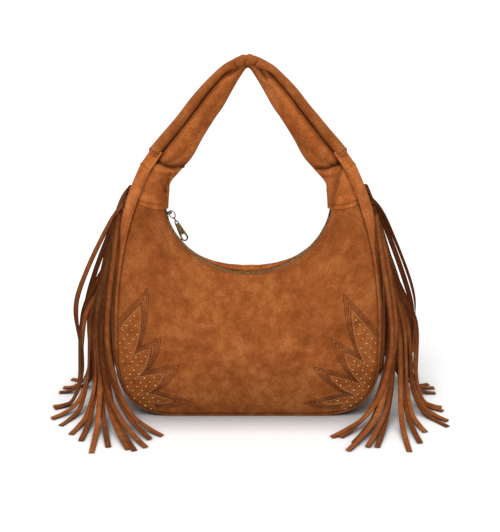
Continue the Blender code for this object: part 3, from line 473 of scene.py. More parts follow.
def dressed_band(rows, cols):
    """The band's face with both seams pinched in and slow waves between them, and its tone."""
    face = band_face(rows, cols)
    out = unit_normals(face)
    if np.sum(out[:, cols // 2] * (face[:, cols // 2] - BAG_MIDDLE), axis=1).mean() < 0:
        out = -out
    seam = np.minimum(from_edge(face, 1), from_edge(face, 1, True))
    standing = np.clip(face[..., 2] / 0.05, 0, 1)
    lift = -0.9 * MM * bell(seam, 1.3 * MM)
    lift += 0.5 * MM * bell(seam - 2.2 * MM, 1.2 * MM) * standing
    lift += 0.7 * MM * ripple(face, (0.09, 0.06, 0.045), 8) * np.clip(seam / 0.012, 0, 1) * standing
    # The tone is painted shade along both seams.
    return face + out * lift[..., None], 1 - 0.22 * bell(seam, 1.4 * MM)


band_grid, band_painted_light_and_shade = dressed_band(*BAND_GRID)
flat_foot = band_grid.copy()
flat_foot[..., 2] = np.maximum(flat_foot[..., 2], 0.0)
# Painted light: the band is lighter upwards from 50 mm, by up to BAND_TOP_LIGHT.
band_painted_light_and_shade = band_painted_light_and_shade * (1 + BAND_TOP_LIGHT * np.clip((flat_foot[..., 2] - 0.05) / 0.08, 0, 1))
band = cloth_piece("gusset_suede", flat_foot, SUEDE, tan_suede, flat_foot - BAG_MIDDLE,
                   band_painted_light_and_shade)
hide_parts("gusset")

# ---- Shoulder strap ------------------------------------------------------------------------------
# Two layers of suede over wadding go from the body's seams over the shoulder, wide at the foot and
# pinched at the top. Where they leave the body they are folded into tucks.

STRAP_TOP = 0.434
STRAP_SUEDE, STRAP_SEAM_ROOM = 1.2 * MM, 1.1 * MM
STRAP_FOOT = (
    # share of the way up the band's edge, inner x and rise from the mouth's end, inner y, swell
    (0.015, -0.0040, -0.0005, 0.0015, 0.0020),
    (0.450, -0.0055, 0.0150, 0.0005, 0.0025),
    (0.940, -0.0075, 0.0280, -0.0010, 0.0030),
)
STRAP_ROWS = (
    # edge x, rise, y, inner x, rise, y as shares of the band's top, and swell
    (0.896, 0.113, 0.75, 0.687, -0.015, 0.28, 0.0045),
    (0.809, 0.213, 0.66, 0.561, 0.111, 0.22, 0.0045),
    (0.704, 0.324, 0.63, 0.461, 0.267, 0.19, 0.0045),
    (0.574, 0.468, 0.61, 0.339, 0.437, 0.19, 0.0045),
    (0.428, 0.636, 0.59, 0.243, 0.556, 0.19, 0.0042),
    (0.306, 0.761, 0.56, 0.152, 0.696, 0.19, 0.0038),
    (0.168, 0.878, 0.53, 0.070, 0.815, 0.19, 0.0030),
    (0.000, 0.948, 0.50, 0.000, 0.885, 0.19, 0.0020),
)
STRAP_GRID = (520, 56)
STRAP_EDGE = 0.25 * MM
STRAP_LIGHT, STRAP_DARKEST, STRAP_PALEST = 1.36, 0.22, 1.5
CREASE_DEPTH, CREASE_WIDTH = 3.0 * MM, 3.2 * MM
PINCH_HALF_WIDTH = 0.019
HEM_WIDTH, HEM_PROUD, HEM_DROP = 4.6 * MM, 2.0 * MM, 3.0 * MM


def smooth_curve(points, count):
    """A Catmull-Rom curve through the points, read at count even steps of its parameter."""
    p = np.asarray(points, float)
    ends = np.vstack([2 * p[0] - p[1], p, 2 * p[-1] - p[-2]])
    at = np.linspace(0.0, len(p) - 1, count)
    i = np.minimum(at.astype(int), len(p) - 2)
    t = (at - i)[:, None]
    a, b, c, d = ends[i], ends[i + 1], ends[i + 2], ends[i + 3]
    return 0.5 * (2 * b + (c - a) * t + (2 * a - 5 * b + 4 * c - d) * t**2
                  + (3 * b - a - 3 * c + d) * t**3)


def strap_rows():
    """Rows of the strap's front view on one side: edge x, z, y, inner x, z, y and swell."""
    rows = []
    for up, inward, rise, deeper, swell in STRAP_FOOT:
        z = STRAP_SEAM_HEIGHT + (SIDE_TOP_HEIGHT - STRAP_SEAM_HEIGHT) * up
        rows.append((side_half_width(z) - STRAP_SEAM_ROOM, z, half_depth(z),
                     MOUTH_HALF_WIDTH + inward, MOUTH_TOP + rise,
                     MOUTH_END_HALF_GAP + deeper, swell))
    wide, tall, deep = SIDE_TOP_HALF_WIDTH, STRAP_TOP - SIDE_TOP_HEIGHT, SIDE_TOP_HALF_DEPTH
    for ex, ez, ey, ix, iz, iy, swell in STRAP_ROWS:
        rows.append((ex * wide, SIDE_TOP_HEIGHT + ez * tall, ey * deep,
                     ix * wide, SIDE_TOP_HEIGHT + iz * tall, iy * deep, swell))
    return np.array(rows)


def over_the_top(rows, sideways, count):
    """A smooth path through one side's rows, over the top and down through their mirror."""
    mirror = np.ones(rows.shape[1])
    mirror[list(sideways)] = -1
    return smooth_curve(np.vstack([rows * mirror, rows[::-1][1:]]), count)


def to_path(xz, path):
    """Distance of each (x, z) from a line through the path's points, and its sign to the left."""
    best = np.full(xz.shape[:-1], 9.0)
    side = np.zeros(xz.shape[:-1])
    for a, b in zip(path, path[1:]):
        a, b = np.array(a) * MM, np.array(b) * MM
        run = b - a
        share = np.clip(((xz - a) @ run) / (run @ run), 0, 1)[..., None]
        off = xz - (a + share * run)
        gap = np.linalg.norm(off, axis=-1)
        turn = run[0] * off[..., 1] - run[1] * off[..., 0]
        side = np.where(gap < best, np.sign(turn), side)
        best = np.minimum(best, gap)
    return best, side


# Folds of the strap as the front view shows them: points in mm, depth and width in mm, how far the
# suede to the left of the line (to its right, if negative) is sunk, and how much painted shade that
# side gets.
STRAP_FOLDS = (
    (((-106, 310), (-98, 305), (-90, 302.5), (-72, 301)), 4.2, 2.6, 0.0, 0.62),
    (((-102, 286), (-99.5, 277), (-96.5, 272)), 1.8, 2.4, 0.4, 0.20),
    (((-90, 294), (-93.5, 283), (-96.5, 272), (-95, 262)), 2.2, 2.2, -1.4, -0.30),
    (((110, 309), (99, 304), (92, 301), (84, 300)), 4.2, 2.6, 0.0, -0.62),
    (((109, 300), (104.7, 280), (100.6, 258)), 1.2, 2.4, -3.4, -0.40),
    (((-1, 420), (-4.5, 428), (-3, 433)), 2.2, 1.6, 0.8, 0.30),
    (((1, 420), (5, 430), (10, 433)), 2.0, 1.7, -0.8, -0.20),
    (((7, 424), (12, 418), (18, 409)), 3.0, 2.8, 0.8, 0.55),
    (((-6, 424), (-11, 417), (-20, 411)), 2.2, 2.6, -0.6, -0.45),
    (((-52, 352), (-62, 341), (-66, 330)), 1.0, 4.6, 0.0, 0.12),
    (((48, 347), (58, 330), (66, 322)), 1.0, 4.6, 0.0, 0.12),
    (((-30, 385), (-42, 372), (-50, 352)), 0.8, 4.2, 0.0, 0.10),
    (((-75, 322), (-84, 314), (-92, 312)), 1.4, 3.4, 0.5, 0.20),
    (((76, 322), (86, 312), (97, 309)), 1.4, 3.4, -0.5, -0.20),
    (((28, 394), (37, 377), (41, 362)), 0.7, 4.2, 0.0, 0.10),
)


def folded(x, z):
    """How far the folds sink the suede, and how much painted shade they lay on it. Each is a dent
    of
    Gaussian section along its line with a low swell beside it; one side is sunk and given painted
    shade, by a step."""
    xz = np.stack([x, z], axis=-1)
    dent, dark = np.zeros_like(x), np.zeros_like(x)
    for line, depth, width, sunk, shade in STRAP_FOLDS:
        gap, side = to_path(xz, line)
        dent += depth * MM * bell(gap, width * MM)
        dent -= 0.35 * depth * MM * bell(gap - 2.4 * width * MM, 1.3 * width * MM)
        below = 1 / (1 + np.exp(-side * np.sign(sunk) * gap / (0.5 * MM)))
        dent += abs(sunk) * MM * below * bell(gap, 7 * MM)
        shaded = 1 / (1 + np.exp(-side * np.sign(shade) * gap / (0.4 * MM)))
        dark += 0.06 * depth * bell(gap, 0.8 * width * MM)
        dark += abs(shade) * shaded * bell(gap, (2.0 + 11.0 * abs(shade)) * MM)
    return dent, dark


def strap_layer(rows, cols):
    """The front layer's outer face and tone. Across the strap the place runs from the outer edge to
    the inner one as the sine of an angle, and the depth falls by a power of its cosine, so that the
    inner edge is round. A crease runs beside the rolled strip and the folds are pressed in. The
    foot's hem is carried down over the panel and stands proud of it."""
    path = over_the_top(strap_rows(), (0, 3), rows)
    ex, ez, ey, ix, iz, iy, swell = (path[:, k:k + 1] for k in range(7))
    angle = np.linspace(0.0, math.pi / 2, cols)[None, :]
    w = np.sin(angle)
    x = ex + (ix - ex) * w
    z = ez + (iz - ez) * w
    plump = ey + (iy - ey) * w + swell * np.sin(math.pi * w)
    y = STRAP_EDGE + (plump - STRAP_EDGE) * np.cos(angle)**0.36
    across = np.hypot(x - ex, z - ez)
    step = np.minimum(np.arange(rows), np.arange(rows)[::-1])[:, None]
    hanging = np.clip((step - 0.06 * rows) / (0.03 * rows), 0, 1)
    loose = 1 - np.exp(-(x / PINCH_HALF_WIDTH)**4)
    y -= CREASE_DEPTH * bell(across, CREASE_WIDTH) * hanging * loose
    dent, dark = folded(x, z)
    # Painted shade: along the crease beside the roll, in the folds, at the inner edge and at the
    # pinched top.
    tone = 1 - 0.50 * bell(across, 3.0 * MM) * loose - dark
    tone = tone - 0.10 * np.clip(w - 0.8, 0, 1) * 5 - 0.20 * (1 - loose) * w
    round_off = np.cos(angle)**0.3
    y = np.maximum(y - dent * round_off, STRAP_EDGE * round_off + 0.05 * MM)
    top_row = front_grid[0] * (-1, -1, 1)
    near = np.argmin((np.abs(x)[..., None] - top_row[:, 0])**2, axis=2)
    above = z - top_row[near, 2]
    hem = np.clip(1 - above / (14 * MM), 0, 1)
    proud = top_row[near, 1] + HEM_PROUD - 1.1 * MM * bell(above - HEM_WIDTH, 1.0 * MM)
    inner = np.clip((np.abs(x) - top_row[0, 0]) / (2 * MM), 0, 1)
    blend = hem**2 * (3 - 2 * hem) * inner
    y = y * (1 - blend) + np.maximum(y, proud) * blend
    z = z - HEM_DROP * np.clip(1 - step / 12, 0, 1)
    # Painted shade along the hem's fold line.
    tone = tone - 0.25 * bell(above - HEM_WIDTH, 0.8 * MM) * blend
    face = np.stack([x, -y, z], axis=2)
    face[..., 1] -= 0.7 * MM * ripple(face, (0.05, 0.035, 0.022, 0.016), 12) * np.cos(angle)
    # The layer is painted lighter than the panels by STRAP_LIGHT, as painted light, held between
    # STRAP_DARKEST and STRAP_PALEST.
    return face, np.clip(STRAP_LIGHT * tone, STRAP_DARKEST, STRAP_PALEST)


strap_grid, strap_painted_light_and_shade = strap_layer(*STRAP_GRID)
for name, flip, towards in (("strap_front", 1, FRONT), ("strap_back", -1, BACK)):
    layer = cloth_piece(name + "_suede", strap_grid * (1, flip, 1), STRAP_SUEDE, tan_suede,
                        towards, strap_painted_light_and_shade)
    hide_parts(name)

# ---- Rolled outer strip and its joints -----------------------------------------------------------
# A strip of suede is rolled round a cord of wadding and laid along the outside of the strap. A
# short strip at each end joins it to the side band; the ends are hemmed and stitched.

ROLL_ROWS = (
    # outer x, rise and half depth as shares of the band's top
    (1.004, 0.172, 0.81),
    (0.909, 0.267, 0.78),
    (0.804, 0.374, 0.75),
    (0.665, 0.515, 0.72),
    (0.522, 0.670, 0.69),
    (0.383, 0.800, 0.66),
    (0.217, 0.922, 0.59),
    (0.000, 1.000, 0.53),
)
ROLL_GRID = (300, 40)
ROLL_CREASE, ROLL_OVERLAP = 0.4 * MM, 6.0 * MM
# Gathers round the top: where each meets the apex, and how it leans
APEX_HEIGHT, APEX_GATHERS = 0.421, ((-4.0 * MM, 0.22), (6.5 * MM, 0.55), (-13.0 * MM, -0.6))
JOINT_RISE, JOINT_LEAN, JOINT_HALF_DEPTH, JOINT_BULGE = 0.0162, 0.0083, 0.0130, 0.0095
JOINT_GRID, JOINT_LIGHT = (24, 32), 1.38


def roll_rings(rows, around):
    """Rings of the roll and their tone: superellipses of power 2.5 between the crease and the outer
    line, hemmed at both ends and gathered round the top."""
    crease = strap_rows()[-len(ROLL_ROWS):, :2]
    scale = (SIDE_TOP_HALF_WIDTH, STRAP_TOP - SIDE_TOP_HEIGHT, SIDE_TOP_HALF_DEPTH)
    outer = np.array(ROLL_ROWS) * scale + (0.0, SIDE_TOP_HEIGHT, 0.0)
    path = over_the_top(np.hstack([crease, outer]), (0, 2), rows)
    inside, outside, depth = path[:, [0, 1]], path[:, [2, 3]], path[:, 4]
    right = unit(outside - inside)
    pinched = np.exp(-(inside[:, 0] / PINCH_HALF_WIDTH)**4)
    tucked = ROLL_CREASE - ROLL_OVERLAP * pinched
    reach = np.linalg.norm(outside - inside, axis=1) - tucked
    middle = inside + right * (tucked + reach / 2)[:, None]
    turn = np.linspace(0.0, 2 * math.pi, around, endpoint=False)
    c, s = np.cos(turn), np.sin(turn)
    across = (np.sign(c) * np.abs(c)**0.8)[None, :] * reach[:, None] / 2
    deep = (np.sign(s) * np.abs(s)**0.8)[None, :] * depth[:, None]
    end = np.minimum(np.arange(rows), np.arange(rows)[::-1])[:, None] / rows
    hem = 1 + 0.05 * bell(end - 0.006, 0.004) - 0.05 * bell(end - 0.014, 0.004)
    x = middle[:, :1] + right[:, :1] * across * hem
    z = middle[:, 1:] + right[:, 1:] * across * hem
    rings = np.stack([x, deep * hem, z], axis=2)
    out = unit(rings - np.stack([middle[:, 0], np.zeros(rows), middle[:, 1]], axis=1)[:, None, :])
    rings += out * 0.45 * MM * ripple(rings, (0.05, 0.03, 0.022), 21)[..., None]
    apex = bell(rings[..., 0], 0.012)
    rings += out * (0.5 * MM * apex * np.sin(rings[..., 0] / (1.5 * MM)))[..., None]
    # Painted shade on the roll's inner side, towards the crease.
    tone = 1 - 0.45 * np.clip(-c, 0, 1)**3 * (1 - pinched)[:, None]
    for foot, lean in APEX_GATHERS:
        gap = rings[..., 0] - foot - lean * (rings[..., 2] - APEX_HEIGHT)
        fold = bell(gap, 1.7 * MM) * np.clip(1 - 0.6 * c, 0, 1)
        rings -= out * (1.3 * MM * fold)[..., None]
        # Painted shade in each gather.
        tone = tone - 0.34 * fold
    return rings, tone


rings, roll_painted_shade = roll_rings(*ROLL_GRID)
ring_points = np.arange(rings.shape[0] * rings.shape[1]).reshape(rings.shape[:2])
roll_faces = [list(f) for f in quads(*ROLL_GRID, wrap_cols=True)] + ring_points[[0, -1]].tolist()
roll = new_piece("strap_outer_strip_suede", rings.reshape(-1, 3), roll_faces, tan_suede,
                 roll_painted_shade, sharp=60)
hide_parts("strap_outer_strip")


def joint_face(rows, cols):
    """The short strip: t up along it, w across; it stands out by its bulge * (1 - w * w)."""
    t = np.linspace(-0.03, 1.40, rows)[:, None]
    w = np.sin(np.linspace(-0.5, 0.5, cols) * math.pi)[None, :]
    lean = unit(np.array([JOINT_RISE, 0.0, JOINT_LEAN]))
    depth = SIDE_TOP_HALF_DEPTH + (JOINT_HALF_DEPTH - SIDE_TOP_HALF_DEPTH) * t
    bulge = (SIDE_TOP_BULGE + (JOINT_BULGE - SIDE_TOP_BULGE) * t) * (1 - w**2)
    bulge = bulge + 0.7 * MM * bell(t - 0.02, 0.05) * (1 - w**2)
    x = SIDE_TOP_HALF_WIDTH - (JOINT_LEAN + 3.0 * MM * w**2) * t + bulge * lean[0]
    z = SIDE_TOP_HEIGHT + JOINT_RISE * t + bulge * lean[2]
    return np.stack([x, depth * w + 0 * t, z], axis=2)


joint_grid = joint_face(*JOINT_GRID)
# The joints are painted lighter than the other suede by JOINT_LIGHT, as painted light.
for name, flip in (("strap_joint_right", 1), ("strap_joint_left", -1)):
    joint = cloth_piece(name + "_suede", joint_grid * (flip, 1, 1), SUEDE, tan_suede,
                        (flip, 0, 0), JOINT_LIGHT * np.ones(JOINT_GRID))
    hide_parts(name)

# ---- Lining --------------------------------------------------------------------------------------
# Plain brown cotton twill, 0.8 mm, hangs just inside the suede and is sewn in at the mouth.

LINING, LINING_GAP, LINING_INSET = 0.8 * MM, 2.2 * MM, 6.6 * MM
LINING_GRID, LINING_BAND_GRID = (120, 40), (240, 24)


def cotton_material(name, pale, deep, pitch):
    """Cotton twill: fine diagonal ribs at the given pitch in metres, a wave over two browns."""
    made = bpy.data.materials.new(name)
    tree = empty_nodes(made)
    place = add_node(tree, "ShaderNodeTexCoord").outputs["Object"]
    ribs = add_node(tree, "ShaderNodeTexWave", {"Vector": place, "Scale": 0.314 / pitch,
                                                "Distortion": 0.4},
                    wave_type="BANDS", bands_direction="DIAGONAL").outputs["Fac"]
    rise = add_node(tree, "ShaderNodeBump", {"Strength": 0.4, "Distance": 0.0003, "Height": ribs})
    principled(tree, {"Base Color": hex_ramp(tree, ribs, ((0.0, deep), (1.0, pale))),
                      "Roughness": 0.9, "Specular IOR Level": 0.2,
                      "Normal": rise.outputs["Normal"]})
    return made


brown_twill = cotton_material("brown_cotton_twill", "#7A5638", "#4E3420", 1.2 * MM)
lining_face = panel_face(*LINING_GRID)
lining_out = unit_normals(lining_face)
lining_out *= -np.sign(lining_out[..., 1].mean())
lining_grid = (lining_face - lining_out * LINING_GAP)[:, 1:]
for name, flip, towards in (("lining_front", 1, FRONT), ("lining_back", -1, BACK)):
    lining = cloth_piece(name + "_twill", lining_grid * (1, flip, 1), LINING, brown_twill,
                         towards)
    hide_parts(name)
band_out = outline(LINING_BAND_GRID[0], SIDE_TOP_HEIGHT)[1]
lining_band = band_face(*LINING_BAND_GRID, LINING_INSET)
lining_band[..., [0, 2]] -= band_out[:, None, :] * LINING_GAP
lining = cloth_piece("lining_gusset_twill", lining_band, LINING, brown_twill,
                     lining_band - BAG_MIDDLE)
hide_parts("lining_gusset")

# ---- Zip: tape, chain, slider and pull -----------------------------------------------------------
# Woven polyester tape carries a brass chain round the mouth. Slider, ring, link and tab are die
# cast or wire, plated in antique brass. They keep their solids.


def brass_material(name, light, dark, roughness):
    """Antique brass plate: darkened in patches of about 2 mm, brighter where it is rubbed."""
    made = bpy.data.materials.new(name)
    tree = empty_nodes(made)
    place = add_node(tree, "ShaderNodeTexCoord").outputs["Object"]
    patch = add_node(tree, "ShaderNodeTexNoise", {"Vector": place, "Scale": 1 / 0.002,
                                                  "Detail": 4.0}).outputs["Fac"]
    rub = add_node(tree, "ShaderNodeBump", {"Strength": 0.15, "Distance": 0.0002, "Height": patch})
    principled(tree, {"Base Color": hex_ramp(tree, patch, ((0.38, dark), (0.62, light))),
                      "Metallic": 1.0, "Roughness": roughness, "Normal": rub.outputs["Normal"]})
    return made


antique_brass = brass_material("antique_brass_plate", "#A5875C", "#5F492F", 0.36)
chain_brass = brass_material("antique_brass_chain", "#C79A56", "#7A5628", 0.50)
tape_weave = cotton_material("brown_woven_tape", "#6A4A2E", "#41291A", 0.9 * MM)
for material, names in (
    (chain_brass, ("zip_teeth_front", "zip_teeth_back", "zip_top_stop_front",
                   "zip_top_stop_back", "zip_bottom_stop")),
    (tape_weave, ("zip_tape_front", "zip_tape_back")),
    (antique_brass, ("zip_slider", "slider_ring", "jump_link", "pull_tab")),
):
    for name in names:
        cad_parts[name].data.materials.clear()
        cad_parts[name].data.materials.append(material)

# ---- Fringe --------------------------------------------------------------------------------------
# Each strip is suede 1.2 mm thick, sewn down the side band by its header and cut into strands
# 6.4 mm wide. They hang in front of each other, and their ends lie fanned out on the floor.

STRAND_WIDTH, STRAND_THICKNESS = 6.4 * MM, 1.2 * MM
STRAND_PITCH, HEADER_DEPTH = 6.8 * MM, 1.2 * MM
HANG_HEIGHT = 1.4 * BELLY_HEIGHT
STRAND_STEPS, STRAND_POINTS = 70, 240
FLOOR_DEPTH, FLOOR_WIDTH = 0.141, 0.240
# Against the share of the way down the row: how far out of the belly the strands hang, how far
# across it, which way they turn on the floor, how far they reach and how high they pile up. short
# is the height at which the first strands end.
FRONT_ROW = dict(
    strands=13, drop=0.059, across=-0.12, gap=0.0006, share=(0.0, 0.58, 1.0),
    hang_out=(0.0095, 0.0240, 0.0420), hang_across=(1.04, 0.54, 0.06),
    turn=(143, 84, 14), reach=(0.104, 0.104, 0.060), pile=(0.0060, 0.0, 0.0), short=(),
    long=0.285,
)
BACK_ROW = dict(
    strands=12, drop=0.031, across=0.55, gap=0.0014, share=(0.0, 0.19, 0.27, 1.0),
    hang_out=(0.0350, 0.0540, 0.0130, 0.0400), hang_across=(1.50, 1.36, 1.28, 0.50),
    turn=(0, 0, 98, -4), reach=(0.034, 0.034, 0.046, 0.034), pile=(0.0, 0.0, 0.0, 0.0),
    short=(0.125, 0.085, 0.036), long=0.290,
)


def side_point(z, across):
    """A point on the right-hand side of the band, and its outward direction."""
    step = 1e-4
    slope = (side_half_width(z + step) - side_half_width(z - step)) / (2 * step)
    normal = np.array([1.0, 0.0, -slope]) / math.hypot(1.0, slope)
    seam = np.array([side_half_width(z), 0.0, z])
    bulge = float(side_bulge(z)) * (1 - across**2)
    return seam + normal * bulge + (0.0, across * half_depth(z), 0.0), normal


def strand_lines(row, seed):
    """Centre lines of a row's strands on the right-hand side, and the way each faces on the floor:
    smooth curves from the root, out and down to where it hangs, and on to its tip. Each strand is
    drawn a little aside, turned on the floor and cut to its own length, as leather strands are."""
    draw = np.random.default_rng(seed)
    front = np.sign(row["across"])
    q = np.linspace(0.0, 1.0, row["strands"])
    hang_out, hang_across, turns, reaches, piles = (
        np.interp(q, row["share"], row[key])
        for key in ("hang_out", "hang_across", "turn", "reach", "pile"))
    lines, faced, roots = [], [], []
    for k in range(row["strands"]):
        sewn, out = side_point(SIDE_TOP_HEIGHT - row["drop"] - k * STRAND_PITCH, row["across"])
        sewn = sewn + out * row["gap"]
        root = sewn + out * HEADER_DEPTH
        aside = BODY_HALF_WIDTH + hang_out[k] + draw.uniform(-3, 4) * MM
        deep = front * (BELLY_HALF_DEPTH * hang_across[k]
                        + draw.uniform(-2, 3) * MM + (2.5 - 5.0 * (k % 2)) * MM)
        hung = np.array([aside, deep, HANG_HEIGHT])
        turn = math.radians(turns[k] + draw.uniform(-5, 5))
        reach = reaches[k] + draw.uniform(-24, 16) * MM
        layer = (5 * k % 3) * 1.3 * MM
        over = piles[k] + layer
        away = np.array([math.cos(turn), front * math.sin(turn), 0.0])
        deep_room = (FLOOR_DEPTH - abs(deep)) / max(abs(away[1]), 1e-6)
        side_room = (FLOOR_WIDTH - aside) / max(away[0], 1e-6)
        tip = hung + away * min(reach, deep_room, side_room)
        tip[2] = STRAND_THICKNESS / 2 + 0.35 * layer
        drop = root + out * 0.5 * STRAND_WIDTH + (0, 0.10 * (hung[1] - root[1]), -0.003)
        fall = root + (hung - root) * (0.40, 0.72, 0.30)
        down, land, flat = (hung + (tip - hung) * share for share in (0.15, 0.40, 0.70))
        down[2] = 0.375 * HANG_HEIGHT
        land[2] = 7 * STRAND_THICKNESS + over
        flat[2] = 1.35 * STRAND_THICKNESS + 0.6 * over
        line = smooth_curve([root, drop, fall, hung, down, land, flat, tip], STRAND_POINTS)
        line[:, 2] = np.maximum(line[:, 2], STRAND_THICKNESS / 2)
        lines.append(line)
        faced.append((-math.sin(turn), front * math.cos(turn), 0.0))
        roots.append((sewn, root))
    return np.array(lines), np.array(faced), np.array(roots)


def strand_surface(row, side, seed):
    """Centre lines, widths and thicknesses of every strand. The strip bends in its own plane at the
    header, hangs turned about its length by its own angle, then turns until it lies flat; slow sine
    waves and a small twist loosen each one."""
    lines, faced, roots = (part * (side, 1.0, 1.0) for part in strand_lines(row, seed))
    along = unit(np.gradient(lines, axis=1))
    upper = np.cross((0.0, 1.0, 0.0), along) * side
    share = np.clip((1.3 * HANG_HEIGHT - lines[..., 2:]) / HANG_HEIGHT, 0.0, 1.0)
    share = share**2 * (3 - 2 * share)
    wide = upper * (1 - share) + faced[:, None, :] * share
    wide = unit(wide - np.sum(wide * along, axis=2)[..., None] * along)
    thick = np.cross(along, wide)
    thick *= np.sign(thick[:, :1, 1:2])
    draw = np.random.default_rng(seed + 100)
    count, length = lines.shape[:2]
    t = np.linspace(0, 1, length)[None, :]
    phase, beat = draw.uniform(0, 6.28, (count, 1)), draw.uniform(0.9, 2.2, (count, 1))
    loose = np.clip(t / 0.20, 0, 1) * np.clip((lines[..., 2] - 0.004) / 0.05, 0.04, 1)
    wave = 2 * math.pi * beat * t
    lines = (lines + wide * (2.0 * MM * np.sin(wave + phase) * loose)[..., None]
             + thick * (1.8 * MM * np.sin(wave - 2 * phase) * loose)[..., None])
    swing = np.sin(2 * math.pi * draw.uniform(0.6, 1.4, (count, 1)) * t + 2 * phase)
    roll = draw.uniform(-40, 40, (count, 1))
    twist = ((np.radians(22) * swing + np.radians(roll)) * loose)[..., None]
    wide, thick = (wide * np.cos(twist) + thick * np.sin(twist),
                   thick * np.cos(twist) - wide * np.sin(twist))
    last = length - 1 - draw.integers(0, 8, count)
    for k, height in enumerate(row["short"]):
        last[k] = int(np.argmax(lines[k, :, 2] < height))
    # Strands differ at random in tone, and every other one, hung further in, is darkened as painted
    # shade.
    shades = draw.uniform(0.88, 1.28, count) * np.where(np.arange(count) % 2, 0.58, 1.0)
    return lines, wide, thick, last, roots, shades


# A strand's section, in halves of its width and thickness: ten sides with slightly hollow faces
STRAND_SECTION = np.array([(-1, -0.55), (-0.92, -1), (0, -0.86), (0.92, -1), (1, -0.55),
                           (1, 0.55), (0.92, 1), (0, 0.86), (-0.92, 1), (-1, 0.55)])


def fringe_piece(name, row, side, seed, material):
    """One cut strip: a thin header along the seam and the strands, folded narrower at the root. The
    tone is painted shade inside the bundle and on the cut edges, and painted light where the
    strands lie on the floor."""
    lines, wide, thick, last, roots, shades = strand_surface(row, side, seed)
    across, deep = (STRAND_SECTION * (STRAND_WIDTH / 2, STRAND_THICKNESS / 2)).T
    corner, side_face = np.abs(STRAND_SECTION[:, 1]) > 0.9, np.abs(STRAND_SECTION[:, 1]) < 0.6
    around = len(STRAND_SECTION)
    size = STRAND_STEPS * around
    order = np.arange(size).reshape(STRAND_STEPS, around)
    one = quads(STRAND_STEPS, around, wrap_cols=True).tolist() + order[[0, -1]].tolist()
    points, faces, tones = [], [], []
    for k in range(row["strands"]):
        at = np.round(np.linspace(0, last[k], STRAND_STEPS)).astype(int)
        c, w, t = lines[k][at], wide[k][at], thick[k][at]
        w = w * (0.58 + 0.42 * np.clip(at / (0.32 * STRAND_POINTS), 0, 1))[:, None]
        strand = (c[:, None, :] + w[:, None, :] * across[:, None] + t[:, None, :] * deep[:, None])
        strand[..., 2] = np.maximum(strand[..., 2], 0.05 * MM)
        points.append(strand.reshape(-1, 3))
        faces += [[size * k + i for i in face] for face in one]
        # Painted shade inside the bundle and on each strand's edges, and painted light where it
        # lies on the floor.
        lying = np.clip(1 - c[:, 2:] / (0.8 * HANG_HEIGHT), 0.0, 1.0)
        outer = np.clip(np.abs(c[:, 1:2]) / BELLY_HALF_DEPTH, 0.0, 1.0)
        edge = 1 - (0.62 - 0.20 * lying) * side_face - (0.50 - 0.36 * lying) * corner
        inside = 0.78 + 0.22 * outer * (1 - lying) + 0.28 * lying
        tones.append((shades[k] * inside * edge).ravel())
    base = size * row["strands"]
    lift = np.array([0, 0, 0.4 * STRAND_PITCH])
    sewn, free = (np.vstack([s[:1] + lift, s, s[-1:] - lift]) for s in (roots[:, 0], roots[:, 1]))
    cloth = np.array([0, STRAND_THICKNESS / 2, 0])
    header = np.stack([sewn + cloth, sewn - cloth, free - cloth, free + cloth], axis=1)
    order = np.arange(4 * len(header)).reshape(-1, 4) + base
    faces += (quads(len(header), 4, wrap_cols=True) + base).tolist() + order[[0, -1]].tolist()
    points.append(header.reshape(-1, 3))
    tones.append(np.full(order.size, 0.6))
    return new_piece(name, np.vstack(points), faces, material, np.concatenate(tones),
                     sharp=45)


# The fringe is the same suede in darker colours, as painted shade of the bundle, with finer clouds.
fringe_shaded_suede = suede_material("fringe_cow_suede", "#7E4220", "#9A5428", "#B06C3A", 1.6)
for name, row, side, seed in (
    ("fringe_left_front", FRONT_ROW, -1, 11),
    ("fringe_left_back", BACK_ROW, -1, 12),
    ("fringe_right_front", FRONT_ROW, 1, 13),
    ("fringe_right_back", BACK_ROW, 1, 14),
):
    fringe = fringe_piece(name + "_suede", row, side, seed, fringe_shaded_suede)
    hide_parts(name)

# ---- Stitching -----------------------------------------------------------------------------------
# Bonded polyester thread, drawn 0.5 to 0.6 mm thick, in stitches of 3 mm. It runs along both mouth
# facings, beside both seams of the side band, and across each hem of strap, roll and joints.

STITCH_PITCH, STITCH_LENGTH = 3.0 * MM, 2.2 * MM
HEM_THREAD, SEAM_THREAD, THREAD_LIFT = 0.6 * MM, 0.5 * MM, 0.1 * MM
BAND_STITCH_IN = 2.6 * MM
ROLL_HEM_ROW, JOINT_HEM_ROW = 5, 3


def thread_material(name, pale, deep):
    """Twisted polyester thread: a satin finish with the shade of its twist, in lengths of 3 mm."""
    made = bpy.data.materials.new(name)
    tree = empty_nodes(made)
    place = add_node(tree, "ShaderNodeTexCoord").outputs["Object"]
    twist = add_node(tree, "ShaderNodeTexNoise", {"Vector": place, "Scale": 1 / 0.003,
                                                  "Detail": 1.0}).outputs["Fac"]
    principled(tree, {"Base Color": hex_ramp(tree, twist, ((0.0, deep), (1.0, pale))),
                      "Roughness": 0.6, "Specular IOR Level": 0.3})
    return made


dark_thread = thread_material("dark_brown_thread", "#34180B", "#1F0E07")

# A stitch is a short capsule: rings of five points, from pole to pole, along its own x.
CAPSULE_RINGS = np.array([(-0.5, 0.35), (-0.36, 0.9), (0.36, 0.9), (0.5, 0.35)])


def copied(faces, size, count):
    """The faces of one small shape again for each of count shapes, with size points in each."""
    return [[size * k + i for i in face] for k in range(count) for face in faces]


def stitches_on(line, normals, pitch, length):
    """Even stitches along a line of points on a surface: centres, directions, outward normals."""
    run = from_edge(line)
    count = max(int(run[-1] / pitch), 2)
    at = (np.arange(count) + 0.5) * run[-1] / count
    along = unit(read_along(line, run, at + length / 2) - read_along(line, run, at - length / 2))
    out = read_along(normals, run, at)
    out -= np.sum(out * along, axis=1)[:, None] * along
    return read_along(line, run, at), along, unit(out)


